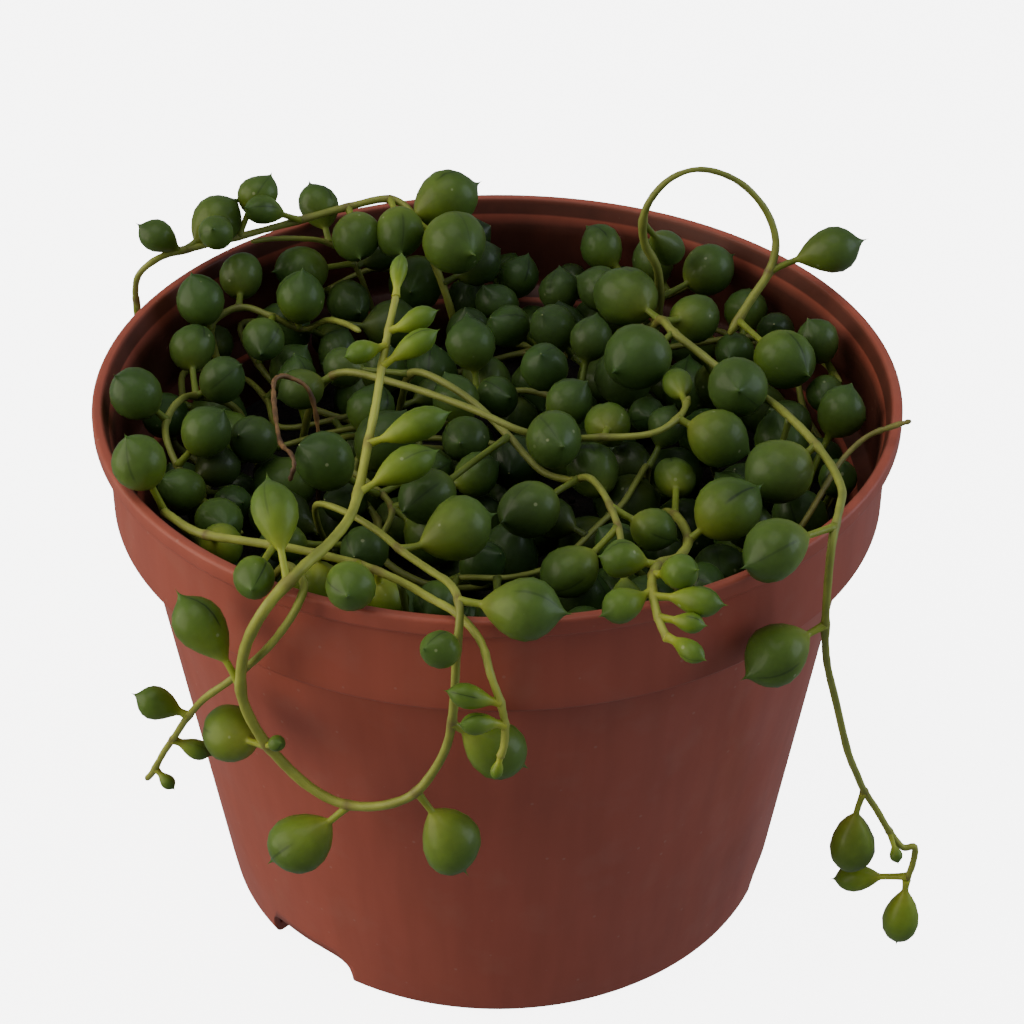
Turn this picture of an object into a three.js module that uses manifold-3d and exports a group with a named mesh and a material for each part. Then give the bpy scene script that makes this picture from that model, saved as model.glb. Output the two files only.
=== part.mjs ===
// Potted string of pearls: a thin plastic nursery pot, its soil, and the plant's leafy stems.
// Millimetres, +Z up. The origin is the centre of the pot's underside, and -Y is the front.
import * as THREE from "three";
import { mergeVertices } from "three/addons/utils/BufferGeometryUtils.js";
import Module from "manifold-3d";

const wasm = await Module();
wasm.setup();

// ---- Pot ----------------------------------------------------------------------------------
const POT_HEIGHT = 76;
const RIM_RADIUS = 52.5;
const LIP_HEIGHT = 2.4;
const COLLAR_RADIUS = 50.8;
const COLLAR_HEIGHT = 14.5;
const SHOULDER_RADIUS = 47.6;
const BASE_RADIUS = 38.4;
const BASE_CORNER = 1.4;
const WALL = 0.9;
const FLOOR = 1.6;
const POT_SIDES = 40;
const STEP_DROP = 0.4;        // height of the slope from the body out to the collar
const RIM_BEVEL = 0.5;
const RIM_WIDTH = 1.6;        // flat top of the lip, with its bevel
const NOTCHES = 3;            // drain notches in the bottom edge, evenly spaced
const NOTCH_BEARING = 228;    // degrees from +X to the first of them
const NOTCH_WIDTH = 15;
const NOTCH_HEIGHT = 5;
const NOTCH_DEPTH = 7;        // how far a notch goes in from the bottom edge
const NOTCH_ROOF = 1.2;       // plastic round a notch on the inside, which keeps the soil in

// ---- Soil ---------------------------------------------------------------------------------
const SOIL_TOP = 56;
const SOIL_CLEARANCE = 0.45;
const SOIL_CROWN = 1.2;
const SOIL_SIDES = 24;
const CROWN_SHARE = 0.6;      // how far out the crown of the soil stays high
const CROWN_SLOPE = 0.2;
const ROOT_DEPTH = 4;
const HOLE_CLEARANCE = 0.45;
const HOLE_SIDES = 6;

// ---- Plant --------------------------------------------------------------------------------
const GAP = 0.35;             // least air between one stem or leaf and its neighbour
const WALL_GAP = 0.5;
const STALK_RADIUS = 0.5;
const SIDES = { placedStem: 5, grownStem: 4, drop: 6, pearl: 5 };
const DROP_STRETCH = 1.2;     // a leaf at least this much longer than wide is a drop, others are round
const BALL_STEP = 1.3;        // spacing of the balls that stand for a stem while the mat is laid out

// Each strand that is placed by hand: its stem's radius and route, then its leaves.
// A leaf is [place along the route, centre x, y, z, diameter, length over diameter].
const PLACED_STRANDS = [
  {
    name: "strand_loop",
    radius: 0.8,
    route: [
      [-21, -16, 52], [-21, -16, 58], [-22.5, -20, 67], [-22, -25.5, 74], [-18, -31, 76.5],
      [-14, -36, 77.2], [-11, -41, 77.9], [-7.7, -46, 78.8], [-5, -50.5, 79.8], [-4, -54.6, 79.4],
      [-4.4, -57.2, 74.5], [-4.8, -56.6, 67], [-5.6, -55.8, 61], [-7.4, -55, 56], [-10, -54.5, 52],
      [-14, -53.5, 49.5], [-18.5, -52, 48.6], [-22.5, -50.5, 50], [-26, -49.5, 53.5],
      [-28.5, -49, 57.5], [-30, -48.8, 62.5], [-29.6, -49.2, 68], [-28.2, -50.4, 73],
      [-25.8, -51, 77.7], [-22.4, -47.6, 80], [-19.5, -41.6, 79.4], [-17.3, -35.3, 79],
      [-16.4, -29, 79.5], [-15.8, -23, 80.7], [-15, -18, 83], [-14.3, -13.5, 86], [-13.5, -9.4, 89.2],
      [-12.5, -5.8, 92.6],
    ],
    leaves: [
      [5.9, -4.8, -36.4, 77.8, 7.8, 1.3], [8.7, 2.9, -55.2, 80, 7.4, 1.28],
      [9.8, -6, -59, 77.1, 4.4, 1.1], [11.4, -0.4, -55.2, 60, 6.8, 1.4],
      [13.8, -5.4, -54.8, 45.6, 7.4, 1.3], [15.8, -23.4, -52.3, 42.7, 7.3, 1.3],
      [18.5, -26, -51.6, 57.6, 2, 1.2], [18.4, -32.4, -43, 51.8, 7, 1.15],
      [20.2, -34.4, -45.8, 70, 6.2, 1.5], [23.6, -25.2, -43, 84.2, 5.6, 1.6],
      [26.7, -11.4, -27.2, 80.8, 4.6, 1.9], [28.1, -10.2, -21.6, 82.8, 4.2, 2.1],
      [30.1, -10.3, -12, 88.6, 3.2, 2.1], [30.6, -16.4, -13, 88.5, 3, 1.7],
      [31, -10.2, -8.6, 90.2, 3, 1.9], [31.9, -12.4, -3.4, 94.2, 2.2, 2.2],
    ],
  },
  {
    name: "strand_front",
    radius: 0.65,
    route: [
      [-35, -18, 52], [-35, -18, 58], [-38, -21.5, 66], [-40.8, -25.2, 72.4], [-39.4, -29.2, 74.6],
      [-37, -32.7, 75.4], [-34.6, -34.7, 75.8], [-31, -36.2, 76.2], [-27, -37.5, 76.4],
      [-23.6, -38.6, 76.5], [-19.6, -40, 76.4], [-15.6, -41.8, 76.4], [-11, -45.4, 76.7],
      [-7.5, -49.2, 77.1], [-4.2, -52.4, 77.1], [-1.6, -56.2, 76.1], [-0.5, -59, 73.6], [0.6, -60, 70.4],
      [1.1, -60.3, 67.4], [1, -60.5, 64.6], [0.5, -60.5, 62.7],
    ],
    leaves: [
      [3, -43.4, -25.6, 80.2, 6.8, 1.1], [6, -33.6, -30.4, 71.2, 5.6, 1.1], [8.2, -27.9, -47.2, 78.7, 5, 1.1],
      [9.6, -21, -40.6, 72, 6.6, 1.1], [10.9, -16.5, -50, 79.4, 5.8, 1.08],
      [11.4, -13, -42.4, 71.8, 5.8, 1.1],
      [17, -2.7, -60.6, 71.6, 3, 1.9], [18, -1.8, -61.4, 68.5, 2.6, 1.9],
      [19.8, 0.2, -60.7, 61.2, 1.5, 1.7],
    ],
  },
  {
    name: "strand_left",
    radius: 0.6,
    route: [
      [-26, -30, 52], [-26, -30, 58], [-28.4, -35, 65.4], [-25, -40.8, 75.6], [-22.2, -46.8, 77.6],
      [-22.7, -50.3, 76.8], [-24.6, -50.6, 73.5], [-27, -48.6, 69], [-29.5, -46.5, 65],
      [-32, -44.8, 61.5], [-35.3, -43, 57.5], [-38, -40.5, 52.5], [-40, -38.5, 48],
      [-42, -36.3, 43.5], [-43.8, -34.5, 39], [-45, -33.2, 36.6],
    ],
    leaves: [
      [10.9, -41.3, -40.5, 54.6, 4.2, 1.4], [12.2, -37.8, -38.2, 45.8, 2.6, 1.65],
      [13.8, -42, -35.9, 38.6, 1.9, 1.4],
    ],
  },
  {
    name: "strand_right",
    radius: 0.65,
    route: [
      [20, 24, 52], [20, 24, 58], [20.5, 22, 68], [22, 17.5, 75], [23.5, 11.5, 76.6], [26.5, 6.5, 76.6],
      [30.3, 2.5, 75.4], [34.9, -4.5, 76], [37, -11.2, 77.6], [39, -16.5, 78], [41, -23, 78.2],
      [41.6, -30, 79.2], [40.8, -35, 80.2], [39.7, -39, 78.6], [39.3, -40.6, 74.4], [39.5, -40, 66.4],
      [40.2, -39, 60], [42, -37, 52.4], [44.5, -34, 42], [46.5, -31, 35.5], [48, -29, 31],
      [50, -28, 27], [52, -28, 23.2], [54, -28, 20.4], [55.6, -28, 20.4], [55.6, -28, 17.4],
      [55, -28, 14.6],
    ],
    leaves: [
      [3, 17.8, 23.9, 75, 8.6, 1.1], [3.3, 27, 20.8, 73.2, 6.8, 1.1], [4, 18.6, 4.8, 77, 9, 1.12],
      [6.2, 30.8, -5.2, 78.4, 7.8, 1.1], [9.3, 34.8, -21.6, 76.3, 8.2, 1.1],
      [12.7, 32.6, -43.2, 80.2, 7.4, 1.3], [15, 33.6, -43.9, 65.3, 7.4, 1.25],
      [20, 47.4, -28, 21.4, 6.2, 1.7], [22, 52.9, -29.6, 20.6, 1.8, 1.3],
      [25.8, 49, -25.4, 12.6, 3.8, 1.8], [26, 54.8, -28.2, 8.2, 5, 1.9],
    ],
  },
  {
    name: "strand_arch",
    radius: 0.65,
    route: [
      [21, 31, 52], [21, 31, 58], [22.4, 30.4, 68], [22.2, 28.4, 76.4], [20, 26.6, 82.2], [20, 25.6, 87.5],
      [22.3, 25.5, 91.5], [25.5, 25.5, 93.5], [29, 25.5, 93.5], [33, 25.5, 91.5], [36.3, 25, 87.8],
      [37.8, 24, 83.6], [37, 22.7, 79.6], [34.5, 20.6, 76.4], [31.6, 18, 72.5],
    ],
    leaves: [
      [2.4, 29.7, 34, 73.7, 7.4, 1.08], [4.6, 23.2, 30.4, 79.4, 4.7, 1.9], [2, 14.4, 32.4, 71.4, 6.4, 1.1],
      [12, 45, 23.6, 82.2, 6.4, 1.42], [13.6, 38, 8.6, 74.2, 8, 1.1],
    ],
  },
  {
    name: "strand_back",
    radius: 0.65,
    route: [
      [-5, 33, 52], [-5, 33, 58], [-7, 33.6, 68], [-9.6, 36, 75], [-12, 39.4, 79.2], [-15.4, 41.6, 80.8],
      [-21.4, 40.4, 80.2], [-29.6, 36.2, 79.8], [-36.3, 32.7, 79.6], [-42.3, 29.5, 79.6],
      [-46.5, 27.5, 79.3], [-49.6, 27, 77], [-50.6, 27.8, 73.5], [-50.4, 28, 70.5],
    ],
    leaves: [
      [3.8, -6.2, 31, 79.8, 9, 1.2], [4, -8, 42.8, 80.2, 8.3, 1.25], [5, -13.8, 35.2, 78.8, 7, 1.1],
      [6, -19.9, 35, 78.6, 7, 1.12], [6.8, -32.3, 32.8, 83.8, 4.2, 1.8], [8, -33.8, 36, 84.6, 5.5, 1.1],
      [8.3, -38.6, 26.8, 83.4, 4.8, 1.15], [9.2, -39.5, 33, 81.8, 6.9, 1.2],
      [9.4, -46.5, 28, 82, 4.6, 1.35], [12.4, -50.6, 27.8, 68.2, 1.9, 1.8],
    ],
  },
  {
    name: "strand_rim",
    radius: 0.5,
    route: [
      [-17, 37, 52], [-17, 37, 58], [-18.6, 38.2, 66], [-21, 38.6, 72.6], [-24.4, 37.8, 75.9],
      [-28.2, 36.4, 77.3], [-32, 34.8, 78.1], [-34.6, 33.4, 78.4],
    ],
    leaves: [[3.9, -25.5, 42.8, 78.8, 5.7, 1.25], [2.9, -27.8, 34.6, 73, 7.2, 1.1]],
  },
  {
    name: "strand_side",
    radius: 0.6,
    route: [
      [-32, 4, 52], [-32, 4, 58], [-35, 8.4, 66], [-40.2, 6, 70], [-42, 1.4, 72], [-43, -3.4, 72.2],
      [-42.6, -7.6, 72], [-41, -10.8, 70], [-38.6, -13.4, 67.6], [-35.8, -17.6, 67], [-32, -21.6, 67],
    ],
    leaves: [
      [3, -36.4, 5, 73, 6.2, 1.1], [3, -41.4, 13.6, 73.2, 6.4, 1.1], [5, -46.3, -5.4, 77.4, 6.8, 1.15],
      [7, -37, -10.4, 75, 6.6, 1.1], [9, -34.6, -24.4, 70.8, 6, 1.1],
    ],
  },
  {
    name: "strand_west",
    radius: 0.6,
    route: [
      [-37, 16, 52], [-37, 16, 58], [-38.6, 19.6, 66], [-39.6, 21, 71.6], [-37.4, 22.6, 73.4],
      [-34.6, 23, 73.8], [-31, 21.8, 73], [-27, 22.6, 70.6], [-23.6, 21.6, 72.6], [-20.8, 17.6, 74.4],
      [-18.6, 13.6, 75.6],
    ],
    leaves: [
      [3, -40.7, 20.8, 76, 6.6, 1.1], [4.6, -36, 28.6, 75.6, 6.1, 1.08],
      [6.8, -27.2, 23, 75.4, 6.9, 1.1], [6, -31.9, 15.5, 73.4, 5.8, 1.1],
    ],
  },
  {
    name: "strand_across",
    radius: 0.6,
    route: [
      [-27, 8, 52], [-27, 8, 58], [-25, 7, 68], [-20.9, 4.6, 74.5], [-12.8, -1.1, 76.3],
      [-3.5, -8.1, 77], [2.8, -12.2, 76.3], [7.5, -11, 74.3], [12, -13.2, 75.8], [19.2, -14.2, 77],
      [23.1, -10.6, 77.3], [24.6, -5.5, 77],
    ],
    leaves: [
      [2.8, -26, 4.6, 72, 5.6, 1.1], [6.5, 7.3, -15.9, 77.4, 7.3, 1.08],
      [8.2, 14.4, -5.4, 72.8, 6, 1.1], [9.9, 28, -12.6, 75.4, 7.4, 1.12],
      [10.7, 23.6, -0.9, 76, 4, 1.5],
    ],
  },
  {
    name: "strand_middle",
    radius: 0.6,
    route: [
      [-14, 14, 52], [-14, 14, 58], [-13, 10, 67], [-10.8, 4.4, 74.8], [-4, -2.8, 75.4],
      [1.5, -9.8, 73.8], [5.5, -14.6, 71.8], [9.2, -18.6, 73], [11.4, -22, 75.6], [13.2, -27.8, 76.8],
      [14.6, -34.1, 76.6], [15, -38.6, 75.6],
    ],
    leaves: [
      [2.8, -20.9, 9.6, 72.2, 5.6, 1.1], [5, -8.6, -22.6, 73, 7, 1.1], [7.4, 4.2, -28, 74.8, 7.2, 1.1],
      [9.4, 19, -31.6, 74.4, 5.4, 1.1], [10, 8.8, -38, 72.8, 6.6, 1.15], [10.8, 15.4, -43.4, 72.2, 4.8, 1.3],
    ],
  },
  {
    name: "strand_rosette",
    radius: 0.7,
    route: [
      [20.4, -17, 52], [20.4, -17, 58], [20.8, -18, 67], [22.4, -25, 71.6], [23.2, -32.4, 73.4],
      [21.6, -38.4, 75.2], [19, -43.6, 78], [18, -48, 79], [18, -51.8, 78.9], [18.6, -54.6, 77.7],
      [19.5, -56.8, 76.7],
    ],
    leaves: [
      [2.8, 22.8, -13.6, 70, 5.4, 1.1], [6.2, 14.8, -45.2, 79.8, 4.6, 1.3], [6.8, 20.8, -49.4, 80.8, 4.2, 1.35],
      [7.6, 14.7, -52.6, 78.8, 4.2, 1.4], [7.9, 22.7, -52.6, 79.2, 3.6, 1.75],
      [8.8, 21.8, -54.9, 77.9, 2.4, 1.6], [9.8, 21.6, -58.5, 76.8, 2.5, 1.9],
    ],
  },
  {
    name: "strand_low",
    radius: 0.5,
    route: [
      [19, -8, 52], [19, -8, 58], [19.4, -8.6, 68], [18, -13.2, 69.6], [15.8, -18.6, 69.4],
      [12.8, -23.4, 69.6], [8.6, -29.2, 68.8], [5.2, -33.4, 69.6], [1, -37.6, 71.6], [-3.2, -37.2, 71.4],
      [-5.2, -35, 69.6],
    ],
    leaves: [
      [2, 21.8, -4.6, 72, 5, 1.15], [4.4, 12.2, -13.2, 71, 6.8, 1.1], [9.6, -7, -43.4, 72, 5.6, 1.1],
    ],
  },
  {
    name: "twig_right",
    radius: 0.5,
    route: [
      [33, -25, 52], [33, -25, 58], [35, -27.6, 67], [38.2, -25.6, 72], [41, -20.6, 73.6], [43.4, -16.8, 75],
      [46.4, -15, 77.1], [49.5, -14.8, 78.5], [51.8, -14.6, 79.2],
    ],
    leaves: [],
  },
  {
    name: "dry_stem",
    radius: 0.4,
    route: [
      [-24, -2, 52], [-24, -2, 58], [-23.4, -2, 67], [-24.4, -0.6, 74.6], [-27.2, 0.4, 76.4],
      [-28.8, -0.8, 76.9], [-28.9, -3.4, 76.4], [-28.2, -9, 75.9], [-27.2, -14.6, 75.9],
      [-25.6, -19.2, 77.4], [-25, -21.2, 77], [-25.6, -21.8, 75],
    ],
    leaves: [],
  },
];

// Pearls of the mat that hang on the grown stems below them: centre x, y, z and diameter.
const PEARLS = [
  [-38.6, -17, 69.4, 5.6], [-31.3, -6, 70.9, 6.2], [-21.5, -17.2, 75, 7.4], [-33.8, -13.7, 67, 5.2],
  [-16, -30.3, 70.6, 6], [-26.2, -28, 70, 5.4], [-3.8, 15.4, 72.5, 6.8], [6.2, 8.9, 72.7, 6.6],
  [10.3, -0.5, 73.1, 6.4], [1.1, 8, 68.8, 5.8], [7.7, 22.3, 71, 6.6], [1.4, 25.4, 69.6, 6.2],
  [12.7, 17.8, 71.9, 6], [8.5, 35, 69.6, 5.8], [28, -29.4, 75, 8], [22.8, 40.4, 72, 6.2],
  [43, 13.4, 73.6, 6.2], [43.8, 7, 69.8, 5.2], [45, -3.6, 73.4, 6.4], [-2.6, -12.4, 69.6, 5.8],
  [-3, -5.4, 70.8, 6.2], [-8, -11.4, 69.6, 5.6], [19.7, 2.2, 70.6, 5], [29.5, -16, 69, 5.4],
  [14.6, -29.2, 71, 5.2], [11.7, -44, 69.6, 6], [32.6, 19, 70, 5.6], [8, 43.6, 72, 6.6],
  [14.6, 41, 73.4, 6.4], [3.6, 42, 69.6, 6], [0, 34, 68, 6], [-22, 21, 67.6, 6.2],
  [-21.5, 34, 68.4, 6.4], [40, 4.6, 67.4, 5.8], [44, -15, 70.6, 5], [25, -36.6, 70, 5.6],
  [-1.9, -31.4, 69.2, 5.6], [-26.4, 12, 69, 5.6], [36, 30, 70, 6.2],
];

// The strands that fill the pot are grown by a rule, with seeded draws.
const FILL_STRANDS = 9;
const FILL_SEED = 7919;
const FILL_RADIUS = 0.6;
const FILL_NODES = 9;
const FILL_STEP = 7.4;
const FILL_SPREAD = 43;
const FILL_LEVELS = [66, 63, 68];
const FOOT_TRIES = 40;
const ROUTE_TRIES = 24;
const TURN_RANGE = 2.8;       // radians between the sharpest turn left and right
const RISE_RANGE = 5;
const COSTS = { turn: 0.6, level: 0.4, room: -0.5 };
const ROOM_WANTED = 8;
const LEAF_TRIES = 30;
const LEAF_DIAMETERS = [8, 7.2, 6.4];
const LEAF_STRETCH = 1.1;
const STALK_LENGTH = 1.5;
const STALK_SPREAD = 1.8;
const FIRST_PEARL = 1000;     // the pearls' own numbers start here, above those of the strands
const PEARL_LEAST = 4;        // a pearl with no room for this diameter is left out
const PEARL_NUDGE = 1;        // how far a pearl may shift each way to find room
const NUDGE_COST = 0.15;
const PEARL_SWELL = 1.2;      // least way from a pearl's surface to the middle of its own stem
const PEARL_REACH = 13;       // longest way from a stem to the centre of a pearl that hangs on it
const SKIN = 0.2;             // a little more air for a leaf than for a stem
const MUCRO = 0.12;           // length of a leaf's point, as a share of its diameter
const CREST_MIDDLE = 71;      // highest centre of a leaf in the mat, at the middle of the pot
const CREST_FALL = 0.045;     // the mat falls towards the back by this much a millimetre
const CREST_EDGE = 1.6;       // the mat is this much higher where it meets the pot's wall

const GREEN = new THREE.MeshStandardMaterial({ color: 0x4f6f2c, roughness: 0.42, metalness: 0 });
const BROWN = new THREE.MeshStandardMaterial({ color: 0x6b4a2c, roughness: 0.8, metalness: 0 });
const TERRACOTTA = new THREE.MeshStandardMaterial({ color: 0x8a4636, roughness: 0.5, metalness: 0 });
const EARTH = new THREE.MeshStandardMaterial({ color: 0x1f1712, roughness: 0.95, metalness: 0 });

// ---- Solids -------------------------------------------------------------------------------

// A closed geometry as a manifold-3d solid: vertices merged, triangles without area left out.
function toSolid(geometry) {
  const bare = geometry.index ? geometry.toNonIndexed() : geometry.clone();
  bare.deleteAttribute("normal");
  bare.deleteAttribute("uv");
  const merged = mergeVertices(bare, 1e-3);
  const index = merged.index.array;
  const kept = [];
  for (let i = 0; i < index.length; i += 3) {
    const [a, b, c] = [index[i], index[i + 1], index[i + 2]];
    if (a !== b && b !== c && a !== c) kept.push(a, b, c);
  }
  const mesh = new wasm.Mesh({
    numProp: 3,
    vertProperties: new Float32Array(merged.attributes.position.array),
    triVerts: new Uint32Array(kept),
  });
  return new wasm.Manifold(mesh);
}

// A manifold-3d solid as a named mesh.
function toMesh(name, solid, material) {
  const { vertProperties, triVerts } = solid.getMesh();
  const geometry = new THREE.BufferGeometry();
  geometry.setAttribute("position", new THREE.BufferAttribute(vertProperties, 3));
  geometry.setIndex(new THREE.BufferAttribute(triVerts, 1));
  geometry.computeVertexNormals();
  const mesh = new THREE.Mesh(geometry, material);
  mesh.name = name;
  return mesh;
}

// A profile of [radius, height] pairs turned about the Z axis.
function turned(profile, sides) {
  const points = profile.map(([radius, height]) => new THREE.Vector2(radius, height));
  return new THREE.LatheGeometry(points, sides).rotateX(Math.PI / 2);
}

// ---- Pot and soil -------------------------------------------------------------------------

// The outside radius of the tapering body at a height.
function bodyRadius(height) {
  const shoulder = POT_HEIGHT - COLLAR_HEIGHT;
  return BASE_RADIUS + (SHOULDER_RADIUS - BASE_RADIUS) * Math.min(height / shoulder, 1);
}

// The inside radius of the pot at a height.
function insideRadius(height) {
  const inCollar = height > POT_HEIGHT - COLLAR_HEIGHT + WALL;
  return (inCollar ? COLLAR_RADIUS : bodyRadius(height)) - WALL;
}

// A block over each notch: grown by a margin on all its inner sides, and reaching out past the wall.
function notchBlocks(margin) {
  const outer = RIM_RADIUS;
  const inner = BASE_RADIUS - NOTCH_DEPTH - margin;
  const block = new THREE.BoxGeometry(outer - inner, NOTCH_WIDTH + 2 * margin, 2 * (NOTCH_HEIGHT + margin));
  const turns = Array.from({ length: NOTCHES }, (_, i) => NOTCH_BEARING + (i * 360) / NOTCHES);
  return turns
    .map((turn) => block.clone().translate((outer + inner) / 2, 0, 0).rotateZ(THREE.MathUtils.degToRad(turn)))
    .map(toSolid)
    .reduce((joined, next) => joined.add(next));
}

function potSolid() {
  const shoulder = POT_HEIGHT - COLLAR_HEIGHT;
  const lip = POT_HEIGHT - LIP_HEIGHT;
  const outside = [
    [0, 0], [BASE_RADIUS - BASE_CORNER, 0], [bodyRadius(BASE_CORNER), BASE_CORNER],
    [SHOULDER_RADIUS, shoulder - STEP_DROP], [COLLAR_RADIUS, shoulder], [COLLAR_RADIUS, lip],
    [RIM_RADIUS, lip], [RIM_RADIUS, POT_HEIGHT - RIM_BEVEL], [RIM_RADIUS - RIM_BEVEL, POT_HEIGHT],
  ];
  const inside = [
    [RIM_RADIUS - RIM_WIDTH, POT_HEIGHT], [COLLAR_RADIUS - WALL, lip],
    [COLLAR_RADIUS - WALL, shoulder + WALL - STEP_DROP], [SHOULDER_RADIUS - WALL, shoulder - STEP_DROP],
    [bodyRadius(FLOOR) - WALL, FLOOR], [0, FLOOR],
  ];
  const full = toSolid(turned([...outside, [0, POT_HEIGHT]], POT_SIDES));
  const shell = toSolid(turned([...outside, ...inside], POT_SIDES));
  return shell.add(notchBlocks(NOTCH_ROOF).intersect(full)).subtract(notchBlocks(0));
}

// The soil fills the pot round the roofs of the notches, slightly crowned, with a plain hole for
// each stem.
function soilSolid(strands) {
  const foot = FLOOR + SOIL_CLEARANCE;
  const edge = SOIL_TOP - SOIL_CROWN;
  const profile = [
    [0, foot], [insideRadius(foot) - SOIL_CLEARANCE, foot], [insideRadius(edge) - SOIL_CLEARANCE, edge],
    [CROWN_SHARE * insideRadius(edge), SOIL_TOP - CROWN_SLOPE], [0, SOIL_TOP],
  ];
  let soil = toSolid(turned(profile, SOIL_SIDES)).subtract(notchBlocks(NOTCH_ROOF + SOIL_CLEARANCE));
  for (const { route, radius } of strands) {
    const [x, y, z] = route[0];
    const bore = (radius + HOLE_CLEARANCE) / Math.cos(Math.PI / HOLE_SIDES);
    const depth = 2 * (SOIL_TOP - z + HOLE_CLEARANCE);
    const hole = new THREE.CylinderGeometry(bore, bore, depth, HOLE_SIDES).rotateX(Math.PI / 2);
    soil = soil.subtract(toSolid(hole.translate(x, y, SOIL_TOP)));
  }
  return soil;
}

// ---- Layout of the mat --------------------------------------------------------------------

// The draws come from a multiplicative generator, each between 0 and 1.
function makeDraw(seed) {
  let state = seed;
  return () => {
    state = (state * 16807) % 2147483647;
    return state / 2147483647;
  };
}

const balls = [];

// A ball's owner is the number of its strand, or a pearl's own number while it hangs on no strand.
function addBall(centre, radius, owner) {
  balls.push({ centre, radius, owner });
}

function between(a, b, share) {
  return a.map((value, i) => value + (b[i] - value) * share);
}

function distance(a, b) {
  return Math.sqrt((a[0] - b[0]) ** 2 + (a[1] - b[1]) ** 2 + (a[2] - b[2]) ** 2);
}

// How far a point is from the nearest of the plant's balls, apart from those of the skipped owners.
function roomAt(point, ...skipped) {
  let room = Infinity;
  for (const ball of balls) {
    if (!skipped.includes(ball.owner)) room = Math.min(room, distance(point, ball.centre) - ball.radius);
  }
  return room;
}

function isClear(point, radius, ...skipped) {
  return roomAt(point, ...skipped) > radius + GAP;
}

// True if a ball keeps clear of the pot's wall and of the soil.
function isInPot([x, y, z], radius) {
  return Math.sqrt(x * x + y * y) + radius < insideRadius(z - radius) - WALL_GAP && z - radius > SOIL_TOP + GAP;
}

// The highest that a leaf's centre stands in the mat.
function crest([x, y]) {
  return CREST_MIDDLE - CREST_FALL * y + CREST_EDGE * (x * x + y * y) / (COLLAR_RADIUS * COLLAR_RADIUS);
}

// The point of a leaf: its far end, on the line from its root through its centre.
function leafTip({ root, centre, diameter, stretch }) {
  const reach = distance(root, centre);
  return between(root, centre, (reach + diameter * (stretch / 2 + MUCRO)) / reach);
}

// A leaf's balls: its body, its point and the middle of its stalk.
function addLeaf(leaf, strand) {
  const { root, centre, diameter, stretch } = leaf;
  const reach = distance(root, centre);
  const swell = (diameter * (stretch - 1)) / 2;
  addBall(centre, diameter / 2, strand);
  addBall(between(root, centre, (reach + swell) / reach), diameter * 0.46, strand);
  addBall(between(root, centre, (reach - swell) / reach), diameter * 0.46, strand);
  addBall(leafTip(leaf), 0.4, strand);
  addBall(between(root, centre, 0.4), STALK_RADIUS, strand);
}

// A stem's balls, evenly spaced between each point of its route and the next.
function addStretch(from, to, radius, strand) {
  const count = Math.ceil(distance(from, to) / BALL_STEP);
  for (let i = 0; i < count; i++) {
    addBall(between(from, to, i / count), radius + 0.25, strand);
  }
}

// A smooth curve through the points of a route, stepped from point to point and not by length.
function curveOf(route) {
  const points = route.map((point) => new THREE.Vector3(...point));
  const curve = new THREE.CatmullRomCurve3(points, false, "catmullrom", 0.5);
  curve.getUtoTmapping = (share) => share;
  return curve;
}

function layPlacedStrand({ name, radius, route, leaves }, strand) {
  const curve = curveOf(route);
  for (let i = 1; i < route.length; i++) {
    const middle = curve.getPoint((i - 0.5) / (route.length - 1)).toArray();
    addStretch(route[i - 1], middle, radius, strand);
    addStretch(middle, route[i], radius, strand);
  }
  const placed = leaves.map(([place, x, y, z, diameter, stretch]) => {
    const root = curve.getPoint(place / (route.length - 1)).toArray();
    return { root, centre: [x, y, z], diameter, stretch };
  });
  placed.forEach((leaf) => addLeaf(leaf, strand));
  return { name, number: strand, radius, route, leaves: placed };
}

// The next point of a creeping stem. Of several clear ones, it is the one that best keeps the
// stem's course and level and has the most room round it.
function nextPoint(from, heading, level, strand, draw) {
  let best = null;
  for (let i = 0; i < ROUTE_TRIES; i++) {
    const turn = (draw() - 0.5) * TURN_RANGE;
    const rise = (draw() - 0.5) * RISE_RANGE;
    const course = heading + turn;
    const to = [from[0] + FILL_STEP * Math.cos(course), from[1] + FILL_STEP * Math.sin(course), from[2] + rise];
    const clear = [0.25, 0.5, 0.75, 1].every((share) => {
      const point = between(from, to, share);
      return isInPot(point, FILL_RADIUS + 0.3) && isClear(point, FILL_RADIUS + 0.25, strand);
    });
    const room = Math.min(roomAt([to[0], to[1], level + 3]), ROOM_WANTED);
    const cost = COSTS.turn * Math.abs(turn) + COSTS.level * Math.abs(to[2] - level) + COSTS.room * room;
    if (clear && (best === null || cost < best.cost)) best = { to, course, cost };
  }
  return best;
}

// The largest leaf that finds room round a point of a stem, as high as it can stand, or null.
function findLeaf(root, strand, draw) {
  for (const diameter of LEAF_DIAMETERS) {
    let best = null;
    for (let i = 0; i < LEAF_TRIES; i++) {
      const bearing = draw() * 2 * Math.PI;
      const lift = Math.sin((draw() - 0.3) * 2);
      const flat = Math.sqrt(1 - lift * lift);
      const reach = diameter / 2 + STALK_LENGTH + draw() * STALK_SPREAD;
      const centre = [
        root[0] + reach * flat * Math.cos(bearing),
        root[1] + reach * flat * Math.sin(bearing),
        root[2] + reach * lift,
      ];
      const leaf = { root, centre, diameter, stretch: LEAF_STRETCH };
      const fits = centre[2] < crest(centre) && isInPot(centre, diameter / 2) && isInPot(leafTip(leaf), 0.4)
        && isClear(centre, diameter / 2 + SKIN) && isClear(leafTip(leaf), 0.5)
        && isClear(between(root, centre, 0.45), STALK_RADIUS, strand);
      if (fits && (best === null || centre[2] > best.centre[2])) best = leaf;
    }
    if (best !== null) return best;
  }
  return null;
}

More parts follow.
